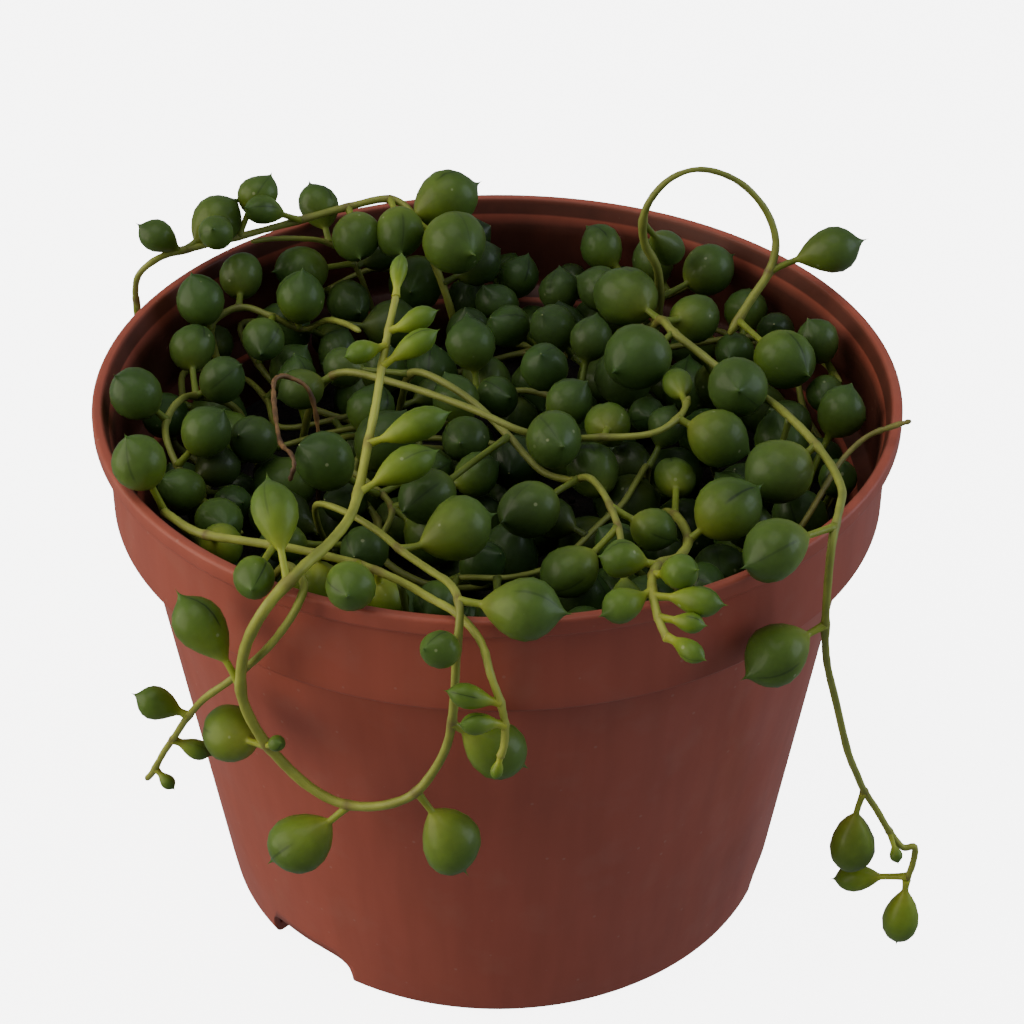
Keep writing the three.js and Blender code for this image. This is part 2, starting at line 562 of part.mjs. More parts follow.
// Where a creeping stem comes up: of several spots on the soil, the one with the most room.
function findFoot(draw) {
  let best = { room: -Infinity };
  for (let i = 0; i < FOOT_TRIES; i++) {
    const ring = FILL_SPREAD * Math.sqrt(draw());
    const angle = draw() * 2 * Math.PI;
    const spot = [ring * Math.cos(angle), ring * Math.sin(angle), SOIL_TOP + 2];
    const room = Math.min(roomAt(spot), roomAt([spot[0], spot[1], SOIL_TOP + 10]));
    if (room > best.room) best = { spot, room };
  }
  return best.spot;
}

// A creeping stem of the mat: up out of the soil, then on in short steps while it finds its way.
function growStrand(index, strand, draw) {
  const level = FILL_LEVELS[index % FILL_LEVELS.length];
  const foot = findFoot(draw);
  const route = [[foot[0], foot[1], SOIL_TOP - ROOT_DEPTH], foot];
  addStretch(route[0], route[1], FILL_RADIUS, strand);
  let heading = draw() * 2 * Math.PI;
  for (let i = 0; i < FILL_NODES; i++) {
    const from = route[route.length - 1];
    const next = nextPoint(from, heading, level, strand, draw);
    if (next === null) break;
    addStretch(from, next.to, FILL_RADIUS, strand);
    route.push(next.to);
    heading = next.course;
  }
  addBall(route[route.length - 1], FILL_RADIUS + 0.25, strand);
  const name = `strand_${String(index + 1).padStart(2, "0")}`;
  return { name, number: strand, radius: FILL_RADIUS, route, leaves: [], grown: true };
}

// Leaves by draw on a grown stem, one at each point of its route where there is room.
function addDrawnLeaves({ route, number, leaves }, draw) {
  for (const root of route.slice(1)) {
    const leaf = findLeaf(root, number, draw);
    if (leaf === null) continue;
    addLeaf(leaf, number);
    leaves.push(leaf);
  }
}

// Keeps a place for a pearl of the mat: in from the wall, and of the spots close to where it is
// wanted, the one that leaves it largest.
function seatPearl([x, y, z, wanted], owner) {
  const limit = insideRadius(z - wanted / 2) - WALL_GAP - SKIN - PEARL_NUDGE - wanted / 2;
  const share = Math.min(1, limit / Math.sqrt(x * x + y * y));
  const nudges = [-PEARL_NUDGE, 0, PEARL_NUDGE];
  let best = null;
  for (const [dx, dy, dz] of nudges.flatMap((a) => nudges.flatMap((b) => nudges.map((c) => [a, b, c])))) {
    const centre = [x * share + dx, y * share + dy, z + dz];
    const diameter = Math.min(wanted, 2 * (roomAt(centre) - GAP - SKIN));
    const worth = diameter - NUDGE_COST * (Math.abs(dx) + Math.abs(dy) + Math.abs(dz));
    if (best === null || worth > best.worth) best = { centre, diameter, worth, owner };
  }
  if (best.diameter < PEARL_LEAST) return null;
  addBall(best.centre, best.diameter / 2, owner);
  return best;
}

// Hangs a pearl on the nearest of the strands that a clear stalk can reach. True if there is one.
function hangPearl({ centre, diameter, owner }, hosts) {
  let best = null;
  for (const { route, number, leaves } of hosts) {
    const middles = route.slice(2).map((point, i) => between(route[i + 1], point, 0.5));
    for (const root of [...route.slice(1), ...middles]) {
      const reach = distance(root, centre);
      if (reach < diameter / 2 + PEARL_SWELL || reach > (best === null ? PEARL_REACH : best.reach)) continue;
      const leaf = { root, centre, diameter, stretch: LEAF_STRETCH };
      const stalk = reach - diameter / 2;
      const isOpen = [0.3, 0.65, 1].every((share) => {
        return isClear(between(root, centre, (share * stalk) / reach), STALK_RADIUS, number, owner);
      });
      const tip = leafTip(leaf);
      if (isOpen && isInPot(tip, 0.4) && isClear(tip, 0.5, owner)) best = { reach, leaf, number, leaves };
    }
  }
  if (best === null) return false;
  addLeaf(best.leaf, best.number);
  best.leaves.push(best.leaf);
  return true;
}

// Every strand, the placed ones first.
function layPlant() {
  const draw = makeDraw(FILL_SEED);
  const strands = PLACED_STRANDS.map(layPlacedStrand);
  const pearls = PEARLS.map((pearl, i) => seatPearl(pearl, FIRST_PEARL + i)).filter((pearl) => pearl !== null);
  for (let i = 0; i < FILL_STRANDS; i++) {
    strands.push(growStrand(i, strands.length, draw));
  }
  const grown = strands.filter((strand) => strand.grown);
  const placed = strands.filter((strand) => !strand.grown && strand.leaves.length > 0);
  pearls.forEach((pearl) => hangPearl(pearl, grown) || hangPearl(pearl, placed));
  grown.forEach((strand) => addDrawnLeaves(strand, draw));
  return strands;
}

// ---- Stems and leaves ---------------------------------------------------------------------

function stemSolid({ route, radius, grown }) {
  const sides = grown ? SIDES.grownStem : SIDES.placedStem;
  const section = new THREE.Shape();
  for (let i = 0; i < sides; i++) {
    const angle = (i / sides) * 2 * Math.PI;
    const point = [radius * Math.cos(angle), radius * Math.sin(angle)];
    if (i === 0) section.moveTo(...point);
    else section.lineTo(...point);
  }
  const curve = curveOf(route);
  const steps = route.length - 1;
  return toSolid(new THREE.ExtrudeGeometry(section, { steps, extrudePath: curve, bevelEnabled: false }));
}

// A leaf: a slim stalk from the middle of the stem, a ball or drop of a body, and its point.
function leafSolid({ root, centre, diameter, stretch }) {
  const reach = distance(root, centre);
  const half = (diameter * stretch) / 2;
  const isDrop = stretch >= DROP_STRETCH;
  const body = isDrop
    ? [[diameter * 0.36, reach - half * 0.62], [diameter * 0.51, reach + half * 0.04],
      [diameter * 0.35, reach + half * 0.66]]
    : [[diameter * 0.46, reach - half * 0.5], [diameter * 0.46, reach + half * 0.4]];
  const stalk = [[0, 0], [STALK_RADIUS, 0], [STALK_RADIUS, reach - half]];
  const profile = [...stalk, ...body, [0, reach + half + diameter * MUCRO]];
  const along = new THREE.Vector3(...centre).sub(new THREE.Vector3(...root)).normalize();
  const turn = new THREE.Quaternion().setFromUnitVectors(new THREE.Vector3(0, 0, 1), along);
  const solid = turned(profile, isDrop ? SIDES.drop : SIDES.pearl);
  return toSolid(solid.applyQuaternion(turn).translate(...root));
}

function strandSolid(strand) {
  return strand.leaves.reduce((solid, leaf) => solid.add(leafSolid(leaf)), stemSolid(strand));
}

// ---- Assembly -----------------------------------------------------------------------------

const strands = layPlant();
const plant = new THREE.Group();
plant.add(toMesh("pot", potSolid(), TERRACOTTA));
plant.add(toMesh("soil", soilSolid(strands), EARTH));
for (const strand of strands) {
  const isDry = strand.leaves.length === 0;
  plant.add(toMesh(strand.name, strandSolid(strand), isDry ? BROWN : GREEN));
}

export default plant;
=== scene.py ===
"""Looks of the potted string of pearls: leafy stems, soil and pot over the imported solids.

Shapes are laid out in millimetres and put into the meshes in metres, in the part's own frame:
+Z up, -Y the front, the origin at the centre of the pot's underside.
"""

import itertools
import math

import bpy
import numpy as np
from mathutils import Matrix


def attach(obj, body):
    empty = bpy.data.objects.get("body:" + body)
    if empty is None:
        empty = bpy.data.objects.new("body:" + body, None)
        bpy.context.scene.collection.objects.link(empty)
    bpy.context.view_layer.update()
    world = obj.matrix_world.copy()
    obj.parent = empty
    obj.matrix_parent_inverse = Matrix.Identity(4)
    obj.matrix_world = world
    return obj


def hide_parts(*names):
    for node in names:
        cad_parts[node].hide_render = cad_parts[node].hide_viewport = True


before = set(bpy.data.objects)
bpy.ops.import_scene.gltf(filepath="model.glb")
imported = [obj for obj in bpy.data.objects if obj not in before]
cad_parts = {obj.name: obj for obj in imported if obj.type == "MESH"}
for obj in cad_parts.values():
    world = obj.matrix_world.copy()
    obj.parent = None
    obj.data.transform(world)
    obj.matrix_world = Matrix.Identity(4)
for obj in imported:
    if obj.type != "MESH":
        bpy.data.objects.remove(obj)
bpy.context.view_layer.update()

MM = 0.001

# ---- Pot and soil
POT_HEIGHT = 76
RIM_RADIUS = 52.5
LIP_HEIGHT = 2.4
LIP_BOTTOM = POT_HEIGHT - LIP_HEIGHT
COLLAR_RADIUS = 50.8
COLLAR_HEIGHT = 14.5
SHOULDER_HEIGHT = POT_HEIGHT - COLLAR_HEIGHT  # where the body steps out to the collar
SHOULDER_RADIUS = 47.6
BASE_RADIUS = 38.4
WALL = 0.9
FLOOR = 1.6
NOTCHES = 3  # drain notches in the bottom edge, evenly spaced
NOTCH_BEARING = 228  # degrees from +X to the first of them
NOTCH_WIDTH = 15
NOTCH_HEIGHT = 5
NOTCH_DEPTH = 7  # how far a notch goes in from the bottom edge
NOTCH_ROOF = 1.2  # plastic round a notch on the inside, which keeps the soil in
SOIL_TOP = 56
SOIL_CLEARANCE = 0.45
SOIL_CROWN = 1.2
ROOT_DEPTH = 4

# ---- Layout rule of the mat, the same as the solids'
GAP = 0.35  # least air between one stem or leaf and its neighbour
WALL_GAP = 0.5
STALK_RADIUS = 0.5
BALL_STEP = 1.3  # spacing of the balls that stand for a stem
STEM_AIR = 0.25  # how much larger than the stem they are
TIP_RADIUS = 0.4  # the ball at a leaf's point
TIP_ROOM = 0.5  # and the one that has to find room for it
LEAF_END = 0.46  # the balls that stretch a leaf, as a share of its diameter
MOST_BALLS = 60000
FILL_STRANDS = 9
FILL_SEED = 7919
FILL_RADIUS = 0.6
FILL_NODES = 9
FILL_STEP = 7.4
FILL_SPREAD = 43
FILL_LEVELS = [66, 63, 68]
GROWN_YOUTH = [0.0, 0.15]
FOOT_TRIES = 40
ROUTE_TRIES = 24
TURN_RANGE = 2.8  # radians between the sharpest turn left and right
RISE_RANGE = 5
COST_TURN = 0.6
COST_LEVEL = 0.4
COST_ROOM = -0.5
ROOM_WANTED = 8
ROOM_ABOVE = 3  # a stem's room is taken this much above its level
FOOT_RISE = 2
FOOT_ROOM = 10  # and a foot's this much above the soil
LEAF_TRIES = 30
LEAF_DIAMETERS = [8, 7.2, 6.4]
LEAF_STRETCH = 1.1
STALK_LENGTH = 1.5
STALK_SPREAD = 1.8
FIRST_PEARL = 1000  # the pearls' own numbers start here, above those of the strands
PEARL_LEAST = 4  # a pearl with no room for this diameter is left out
PEARL_NUDGE = 1  # how far a pearl may shift each way to find room
NUDGE_COST = 0.15
PEARL_SWELL = 1.2  # least way from a pearl's surface to the middle of its own stem
PEARL_REACH = 13  # longest way from a stem to the centre of a pearl that hangs on it
SKIN = 0.2  # a little more air for a leaf than for a stem
MUCRO = 0.12  # length of a leaf's point, as a share of its diameter
CREST_MIDDLE = 71  # highest centre of a leaf in the mat, at the middle of the pot
CREST_FALL = 0.045  # the mat falls towards the back by this much a millimetre
CREST_EDGE = 1.6  # the mat is this much higher where it meets the pot's wall

# Each strand that is placed one by one: its solid's radius and route, then its leaves. A leaf is
# [place along the route, centre x, y, z, diameter, length over diameter]. Youth runs from the
# foot to the tip: 0 is old and dark, 1 fresh and pale. Some strands say more: widths, the fine
# stem's own radii at even steps; dry, how brown and uneven the stem is; cut, a brown tip.
PLAIN_STRAND = {"widths": None, "dry": 0.0, "cut": False, "grown": False}
PLACED_STRANDS = [
  {"name": "strand_loop", "radius": 0.8, "youth": [0.38, 1.0],
   "widths": [0.42, 0.42, 0.50, 0.56, 0.62, 0.70, 0.58, 0.42],
   "route": [
    [-21, -16, 52], [-21, -16, 58], [-22.5, -20, 67], [-22, -25.5, 74], [-18, -31, 76.5],
    [-14, -36, 77.2], [-11, -41, 77.9], [-7.7, -46, 78.8], [-5, -50.5, 79.8], [-4, -54.6, 79.4],
    [-4.4, -57.2, 74.5], [-4.8, -56.6, 67], [-5.6, -55.8, 61], [-7.4, -55, 56], [-10, -54.5, 52],
    [-14, -53.5, 49.5], [-18.5, -52, 48.6], [-22.5, -50.5, 50], [-26, -49.5, 53.5],
    [-28.5, -49, 57.5], [-30, -48.8, 62.5], [-29.6, -49.2, 68], [-28.2, -50.4, 73],
    [-25.8, -51, 77.7], [-22.4, -47.6, 80], [-19.5, -41.6, 79.4], [-17.3, -35.3, 79],
    [-16.4, -29, 79.5], [-15.8, -23, 80.7], [-15, -18, 83], [-14.3, -13.5, 86], [-13.5, -9.4, 89.2],
    [-12.5, -5.8, 92.6],
   ],
   "leaves": [
    [5.9, -4.8, -36.4, 77.8, 7.8, 1.3], [8.7, 2.9, -55.2, 80, 7.4, 1.28],
    [9.8, -6, -59, 77.1, 4.4, 1.1], [11.4, -0.4, -55.2, 60, 6.8, 1.4],
    [13.8, -5.4, -54.8, 45.6, 7.4, 1.3], [15.8, -23.4, -52.3, 42.7, 7.3, 1.3],
    [18.5, -26, -51.6, 57.6, 2, 1.2], [18.4, -32.4, -43, 51.8, 7, 1.15],
    [20.2, -34.4, -45.8, 70, 6.2, 1.5], [23.6, -25.2, -43, 84.2, 5.6, 1.6],
    [26.7, -11.4, -27.2, 80.8, 4.6, 1.9], [28.1, -10.2, -21.6, 82.8, 4.2, 2.1],
    [30.1, -10.3, -12, 88.6, 3.2, 2.1], [30.6, -16.4, -13, 88.5, 3, 1.7],
    [31, -10.2, -8.6, 90.2, 3, 1.9], [31.9, -12.4, -3.4, 94.2, 2.2, 2.2],
   ]},
  {"name": "strand_front", "radius": 0.65, "youth": [0.45, 1.0],
   "route": [
    [-35, -18, 52], [-35, -18, 58], [-38, -21.5, 66], [-40.8, -25.2, 72.4], [-39.4, -29.2, 74.6],
    [-37, -32.7, 75.4], [-34.6, -34.7, 75.8], [-31, -36.2, 76.2], [-27, -37.5, 76.4],
    [-23.6, -38.6, 76.5], [-19.6, -40, 76.4], [-15.6, -41.8, 76.4], [-11, -45.4, 76.7],
    [-7.5, -49.2, 77.1], [-4.2, -52.4, 77.1], [-1.6, -56.2, 76.1], [-0.5, -59, 73.6], [0.6, -60, 70.4],
    [1.1, -60.3, 67.4], [1, -60.5, 64.6], [0.5, -60.5, 62.7],
   ],
   "leaves": [
    [3, -43.4, -25.6, 80.2, 6.8, 1.1], [6, -33.6, -30.4, 71.2, 5.6, 1.1],
    [8.2, -27.9, -47.2, 78.7, 5, 1.1], [9.6, -21, -40.6, 72, 6.6, 1.1], [10.9, -16.5, -50, 79.4, 5.8, 1.08],
    [11.4, -13, -42.4, 71.8, 5.8, 1.1],
    [17, -2.7, -60.6, 71.6, 3, 1.9], [18, -1.8, -61.4, 68.5, 2.6, 1.9],
    [19.8, 0.2, -60.7, 61.2, 1.5, 1.7],
   ]},
  {"name": "strand_left", "radius": 0.6, "youth": [0.4, 0.8], "cut": True,
   "route": [
    [-26, -30, 52], [-26, -30, 58], [-28.4, -35, 65.4], [-25, -40.8, 75.6], [-22.2, -46.8, 77.6],
    [-22.7, -50.3, 76.8], [-24.6, -50.6, 73.5], [-27, -48.6, 69], [-29.5, -46.5, 65],
    [-32, -44.8, 61.5], [-35.3, -43, 57.5], [-38, -40.5, 52.5], [-40, -38.5, 48],
    [-42, -36.3, 43.5], [-43.8, -34.5, 39], [-45, -33.2, 36.6],
   ],
   "leaves": [
    [10.9, -41.3, -40.5, 54.6, 4.2, 1.4], [12.2, -37.8, -38.2, 45.8, 2.6, 1.65],
    [13.8, -42, -35.9, 38.6, 1.9, 1.4],
   ]},
  {"name": "strand_right", "radius": 0.65, "youth": [0.1, 1.0],
   "route": [
    [20, 24, 52], [20, 24, 58], [20.5, 22, 68], [22, 17.5, 75], [23.5, 11.5, 76.6], [26.5, 6.5, 76.6],
    [30.3, 2.5, 75.4], [34.9, -4.5, 76], [37, -11.2, 77.6], [39, -16.5, 78], [41, -23, 78.2],
    [41.6, -30, 79.2], [40.8, -35, 80.2], [39.7, -39, 78.6], [39.3, -40.6, 74.4], [39.5, -40, 66.4],
    [40.2, -39, 60], [42, -37, 52.4], [44.5, -34, 42], [46.5, -31, 35.5], [48, -29, 31],
    [50, -28, 27], [52, -28, 23.2], [54, -28, 20.4], [55.6, -28, 20.4], [55.6, -28, 17.4],
    [55, -28, 14.6],
   ],
   "leaves": [
    [3, 17.8, 23.9, 75, 8.6, 1.1], [3.3, 27, 20.8, 73.2, 6.8, 1.1], [4, 18.6, 4.8, 77, 9, 1.12],
    [6.2, 30.8, -5.2, 78.4, 7.8, 1.1], [9.3, 34.8, -21.6, 76.3, 8.2, 1.1],
    [12.7, 32.6, -43.2, 80.2, 7.4, 1.3], [15, 33.6, -43.9, 65.3, 7.4, 1.25],
    [20, 47.4, -28, 21.4, 6.2, 1.7], [22, 52.9, -29.6, 20.6, 1.8, 1.3],
    [25.8, 49, -25.4, 12.6, 3.8, 1.8], [26, 54.8, -28.2, 8.2, 5, 1.9],
   ]},
  {"name": "strand_arch", "radius": 0.65, "youth": [0.1, 0.35],
   "widths": [0.66, 0.68, 0.56, 0.38, 0.46, 0.58, 0.60],
   "route": [
    [21, 31, 52], [21, 31, 58], [22.4, 30.4, 68], [22.2, 28.4, 76.4], [20, 26.6, 82.2], [20, 25.6, 87.5],
    [22.3, 25.5, 91.5], [25.5, 25.5, 93.5], [29, 25.5, 93.5], [33, 25.5, 91.5], [36.3, 25, 87.8],
    [37.8, 24, 83.6], [37, 22.7, 79.6], [34.5, 20.6, 76.4], [31.6, 18, 72.5],
   ],
   "leaves": [
    [2.4, 29.7, 34, 73.7, 7.4, 1.08], [4.6, 23.2, 30.4, 79.4, 4.7, 1.9], [2, 14.4, 32.4, 71.4, 6.4, 1.1],
    [12, 45, 23.6, 82.2, 6.4, 1.42], [13.6, 38, 8.6, 74.2, 8, 1.1],
   ]},
  {"name": "strand_back", "radius": 0.65, "youth": [0.4, 0.3],
   "route": [
    [-5, 33, 52], [-5, 33, 58], [-7, 33.6, 68], [-9.6, 36, 75], [-12, 39.4, 79.2], [-15.4, 41.6, 80.8],
    [-21.4, 40.4, 80.2], [-29.6, 36.2, 79.8], [-36.3, 32.7, 79.6], [-42.3, 29.5, 79.6],
    [-46.5, 27.5, 79.3], [-49.6, 27, 77], [-50.6, 27.8, 73.5], [-50.4, 28, 70.5],
   ],
   "leaves": [
    [3.8, -6.2, 31, 79.8, 9, 1.2], [4, -8, 42.8, 80.2, 8.3, 1.25], [5, -13.8, 35.2, 78.8, 7, 1.1],
    [6, -19.9, 35, 78.6, 7, 1.12], [6.8, -32.3, 32.8, 83.8, 4.2, 1.8], [8, -33.8, 36, 84.6, 5.5, 1.1],
    [8.3, -38.6, 26.8, 83.4, 4.8, 1.15], [9.2, -39.5, 33, 81.8, 6.9, 1.2],
    [9.4, -46.5, 28, 82, 4.6, 1.35], [12.4, -50.6, 27.8, 68.2, 1.9, 1.8],
   ]},
  {"name": "strand_rim", "radius": 0.5, "youth": [0.2, 0.35],
   "route": [
    [-17, 37, 52], [-17, 37, 58], [-18.6, 38.2, 66], [-21, 38.6, 72.6], [-24.4, 37.8, 75.9],
    [-28.2, 36.4, 77.3], [-32, 34.8, 78.1], [-34.6, 33.4, 78.4],
   ],
   "leaves": [[3.9, -25.5, 42.8, 78.8, 5.7, 1.25], [2.9, -27.8, 34.6, 73, 7.2, 1.1]]},
  {"name": "strand_side", "radius": 0.6, "youth": [0.05, 0.3],
   "route": [
    [-32, 4, 52], [-32, 4, 58], [-35, 8.4, 66], [-40.2, 6, 70], [-42, 1.4, 72], [-43, -3.4, 72.2],
    [-42.6, -7.6, 72], [-41, -10.8, 70], [-38.6, -13.4, 67.6], [-35.8, -17.6, 67], [-32, -21.6, 67],
   ],
   "leaves": [
    [3, -36.4, 5, 73, 6.2, 1.1], [3, -41.4, 13.6, 73.2, 6.4, 1.1], [5, -46.3, -5.4, 77.4, 6.8, 1.15],
    [7, -37, -10.4, 75, 6.6, 1.1], [9, -34.6, -24.4, 70.8, 6, 1.1],
   ]},
  {"name": "strand_west", "radius": 0.6, "youth": [0.05, 0.3],
   "route": [
    [-37, 16, 52], [-37, 16, 58], [-38.6, 19.6, 66], [-39.6, 21, 71.6], [-37.4, 22.6, 73.4],
    [-34.6, 23, 73.8], [-31, 21.8, 73], [-27, 22.6, 70.6], [-23.6, 21.6, 72.6], [-20.8, 17.6, 74.4],
    [-18.6, 13.6, 75.6],
   ],
   "leaves": [
    [3, -40.7, 20.8, 76, 6.6, 1.1], [4.6, -36, 28.6, 75.6, 6.1, 1.08],
    [6.8, -27.2, 23, 75.4, 6.9, 1.1], [6, -31.9, 15.5, 73.4, 5.8, 1.1],
   ]},
  {"name": "strand_across", "radius": 0.6, "youth": [0.15, 0.35],
   "route": [
    [-27, 8, 52], [-27, 8, 58], [-25, 7, 68], [-20.9, 4.6, 74.5], [-12.8, -1.1, 76.3],
    [-3.5, -8.1, 77], [2.8, -12.2, 76.3], [7.5, -11, 74.3], [12, -13.2, 75.8], [19.2, -14.2, 77],
    [23.1, -10.6, 77.3], [24.6, -5.5, 77],
   ],
   "leaves": [
    [2.8, -26, 4.6, 72, 5.6, 1.1], [6.5, 7.3, -15.9, 77.4, 7.3, 1.08],
    [8.2, 14.4, -5.4, 72.8, 6, 1.1], [9.9, 28, -12.6, 75.4, 7.4, 1.12],
    [10.7, 23.6, -0.9, 76, 4, 1.5],
   ]},
  {"name": "strand_middle", "radius": 0.6, "youth": [0.05, 0.3],
   "route": [
    [-14, 14, 52], [-14, 14, 58], [-13, 10, 67], [-10.8, 4.4, 74.8], [-4, -2.8, 75.4],
    [1.5, -9.8, 73.8], [5.5, -14.6, 71.8], [9.2, -18.6, 73], [11.4, -22, 75.6], [13.2, -27.8, 76.8],
    [14.6, -34.1, 76.6], [15, -38.6, 75.6],
   ],
   "leaves": [
    [2.8, -20.9, 9.6, 72.2, 5.6, 1.1], [5, -8.6, -22.6, 73, 7, 1.1], [7.4, 4.2, -28, 74.8, 7.2, 1.1],
    [9.4, 19, -31.6, 74.4, 5.4, 1.1], [10, 8.8, -38, 72.8, 6.6, 1.15], [10.8, 15.4, -43.4, 72.2, 4.8, 1.3],
   ]},
  {"name": "strand_rosette", "radius": 0.7, "youth": [0.1, 1.15],
   "route": [
    [20.4, -17, 52], [20.4, -17, 58], [20.8, -18, 67], [22.4, -25, 71.6], [23.2, -32.4, 73.4],
    [21.6, -38.4, 75.2], [19, -43.6, 78], [18, -48, 79], [18, -51.8, 78.9], [18.6, -54.6, 77.7],
    [19.5, -56.8, 76.7],
   ],
   "leaves": [
    [2.8, 22.8, -13.6, 70, 5.4, 1.1], [6.2, 14.8, -45.2, 79.8, 4.6, 1.3],
    [6.8, 20.8, -49.4, 80.8, 4.2, 1.35], [7.6, 14.7, -52.6, 78.8, 4.2, 1.4],
    [7.9, 22.7, -52.6, 79.2, 3.6, 1.75], [8.8, 21.8, -54.9, 77.9, 2.4, 1.6],
    [9.8, 21.6, -58.5, 76.8, 2.5, 1.9],
   ]},
  {"name": "strand_low", "radius": 0.5, "youth": [0, 0.2],
   "route": [
    [19, -8, 52], [19, -8, 58], [19.4, -8.6, 68], [18, -13.2, 69.6], [15.8, -18.6, 69.4],
    [12.8, -23.4, 69.6], [8.6, -29.2, 68.8], [5.2, -33.4, 69.6], [1, -37.6, 71.6], [-3.2, -37.2, 71.4],
    [-5.2, -35, 69.6],
   ],
   "leaves": [
    [2, 21.8, -4.6, 72, 5, 1.15], [4.4, 12.2, -13.2, 71, 6.8, 1.1], [9.6, -7, -43.4, 72, 5.6, 1.1],
   ]},
  {"name": "twig_right", "radius": 0.5, "youth": [0.1, 0.2], "dry": 0.4,
   "route": [
    [33, -25, 52], [33, -25, 58], [35, -27.6, 67], [38.2, -25.6, 72], [41, -20.6, 73.6], [43.4, -16.8, 75],
    [46.4, -15, 77.1], [49.5, -14.8, 78.5], [51.8, -14.6, 79.2],
   ],
   "leaves": []},
  {"name": "dry_stem", "radius": 0.4, "youth": [0, 0], "dry": 1.0,
   "route": [
    [-24, -2, 52], [-24, -2, 58], [-23.4, -2, 67], [-24.4, -0.6, 74.6], [-27.2, 0.4, 76.4],
    [-28.8, -0.8, 76.9], [-28.9, -3.4, 76.4], [-28.2, -9, 75.9], [-27.2, -14.6, 75.9],
    [-25.6, -19.2, 77.4], [-25, -21.2, 77], [-25.6, -21.8, 75],
   ],
   "leaves": []},
]

# Pearls of the mat that hang on the grown stems below them: centre x, y, z and diameter.
PEARLS = [
  [-38.6, -17, 69.4, 5.6], [-31.3, -6, 70.9, 6.2], [-21.5, -17.2, 75, 7.4], [-33.8, -13.7, 67, 5.2],
  [-16, -30.3, 70.6, 6], [-26.2, -28, 70, 5.4], [-3.8, 15.4, 72.5, 6.8], [6.2, 8.9, 72.7, 6.6],
  [10.3, -0.5, 73.1, 6.4], [1.1, 8, 68.8, 5.8], [7.7, 22.3, 71, 6.6], [1.4, 25.4, 69.6, 6.2],
  [12.7, 17.8, 71.9, 6], [8.5, 35, 69.6, 5.8], [28, -29.4, 75, 8], [22.8, 40.4, 72, 6.2],
  [43, 13.4, 73.6, 6.2], [43.8, 7, 69.8, 5.2], [45, -3.6, 73.4, 6.4], [-2.6, -12.4, 69.6, 5.8],
  [-3, -5.4, 70.8, 6.2], [-8, -11.4, 69.6, 5.6], [19.7, 2.2, 70.6, 5], [29.5, -16, 69, 5.4],
  [14.6, -29.2, 71, 5.2], [11.7, -44, 69.6, 6], [32.6, 19, 70, 5.6], [8, 43.6, 72, 6.6],
  [14.6, 41, 73.4, 6.4], [3.6, 42, 69.6, 6], [0, 34, 68, 6], [-22, 21, 67.6, 6.2],
  [-21.5, 34, 68.4, 6.4], [40, 4.6, 67.4, 5.8], [44, -15, 70.6, 5], [25, -36.6, 70, 5.6],
  [-1.9, -31.4, 69.2, 5.6], [-26.4, 12, 69, 5.6], [36, 30, 70, 6.2],
]

# ---- Layout of the mat

class Balls:
    """The balls that stand for stems and leaves while the mat is laid out."""

    def __init__(self):
        self.centres = np.zeros((MOST_BALLS, 3))
        self.radii = np.zeros(MOST_BALLS)
        self.owners = np.zeros(MOST_BALLS, int)
        self.count = 0

    def add(self, centre, radius, owner):
        """An owner is the number of a strand, or a pearl's own number while it hangs on none."""
        self.centres[self.count] = centre
        self.radii[self.count] = radius
        self.owners[self.count] = owner
        self.count += 1

    def room(self, point, *skipped):
        """How far a point is from the nearest ball's surface, the skipped owners' left out."""
        offset = self.centres[:self.count] - point
        room = np.sqrt((offset * offset).sum(axis=1)) - self.radii[:self.count]
        for owner in skipped:
            room = np.where(self.owners[:self.count] == owner, math.inf, room)
        return room.min() if len(room) else math.inf

    def clear(self, point, radius, *skipped):
        return self.room(point, *skipped) > radius + GAP


balls = Balls()


def make_draw(seed):
    """Draws between 0 and 1 from a multiplicative generator, the same as the solids'."""
    state, period = [seed], 2 ** 31 - 1

    def draw():
        state[0] = (state[0] * 16807) % period
        return state[0] / period
    return draw


def between(a, b, share):
    return a + (b - a) * share


def distance(a, b):
    return math.sqrt((a[0] - b[0]) ** 2 + (a[1] - b[1]) ** 2 + (a[2] - b[2]) ** 2)


def body_radius(height):
    """The outside radius of the tapering body at a height."""
    return BASE_RADIUS + (SHOULDER_RADIUS - BASE_RADIUS) * np.minimum(height / SHOULDER_HEIGHT, 1)


def inside_radius(height):
    """The inside radius of the body, or of the collar above its step."""
    return np.where(height > SHOULDER_HEIGHT + WALL, COLLAR_RADIUS, body_radius(height)) - WALL


def in_pot(point, radius):
    """True if a ball keeps clear of the pot's wall and of the soil."""
    x, y, z = point
    in_wall = math.sqrt(x * x + y * y) + radius < inside_radius(z - radius) - WALL_GAP
    return in_wall and z - radius > SOIL_TOP + GAP


def crest(point):
    """The highest that a leaf's centre stands in the mat."""
    x, y = point[:2]
    return CREST_MIDDLE - CREST_FALL * y + CREST_EDGE * (x * x + y * y) / (COLLAR_RADIUS * COLLAR_RADIUS)


def leaf_tip(leaf):
    """Where a leaf's point ends, on the line from its root through its centre."""
    reach = distance(leaf["root"], leaf["centre"])
    share = (reach + leaf["diameter"] * (leaf["stretch"] / 2 + MUCRO)) / reach
    return between(leaf["root"], leaf["centre"], share)


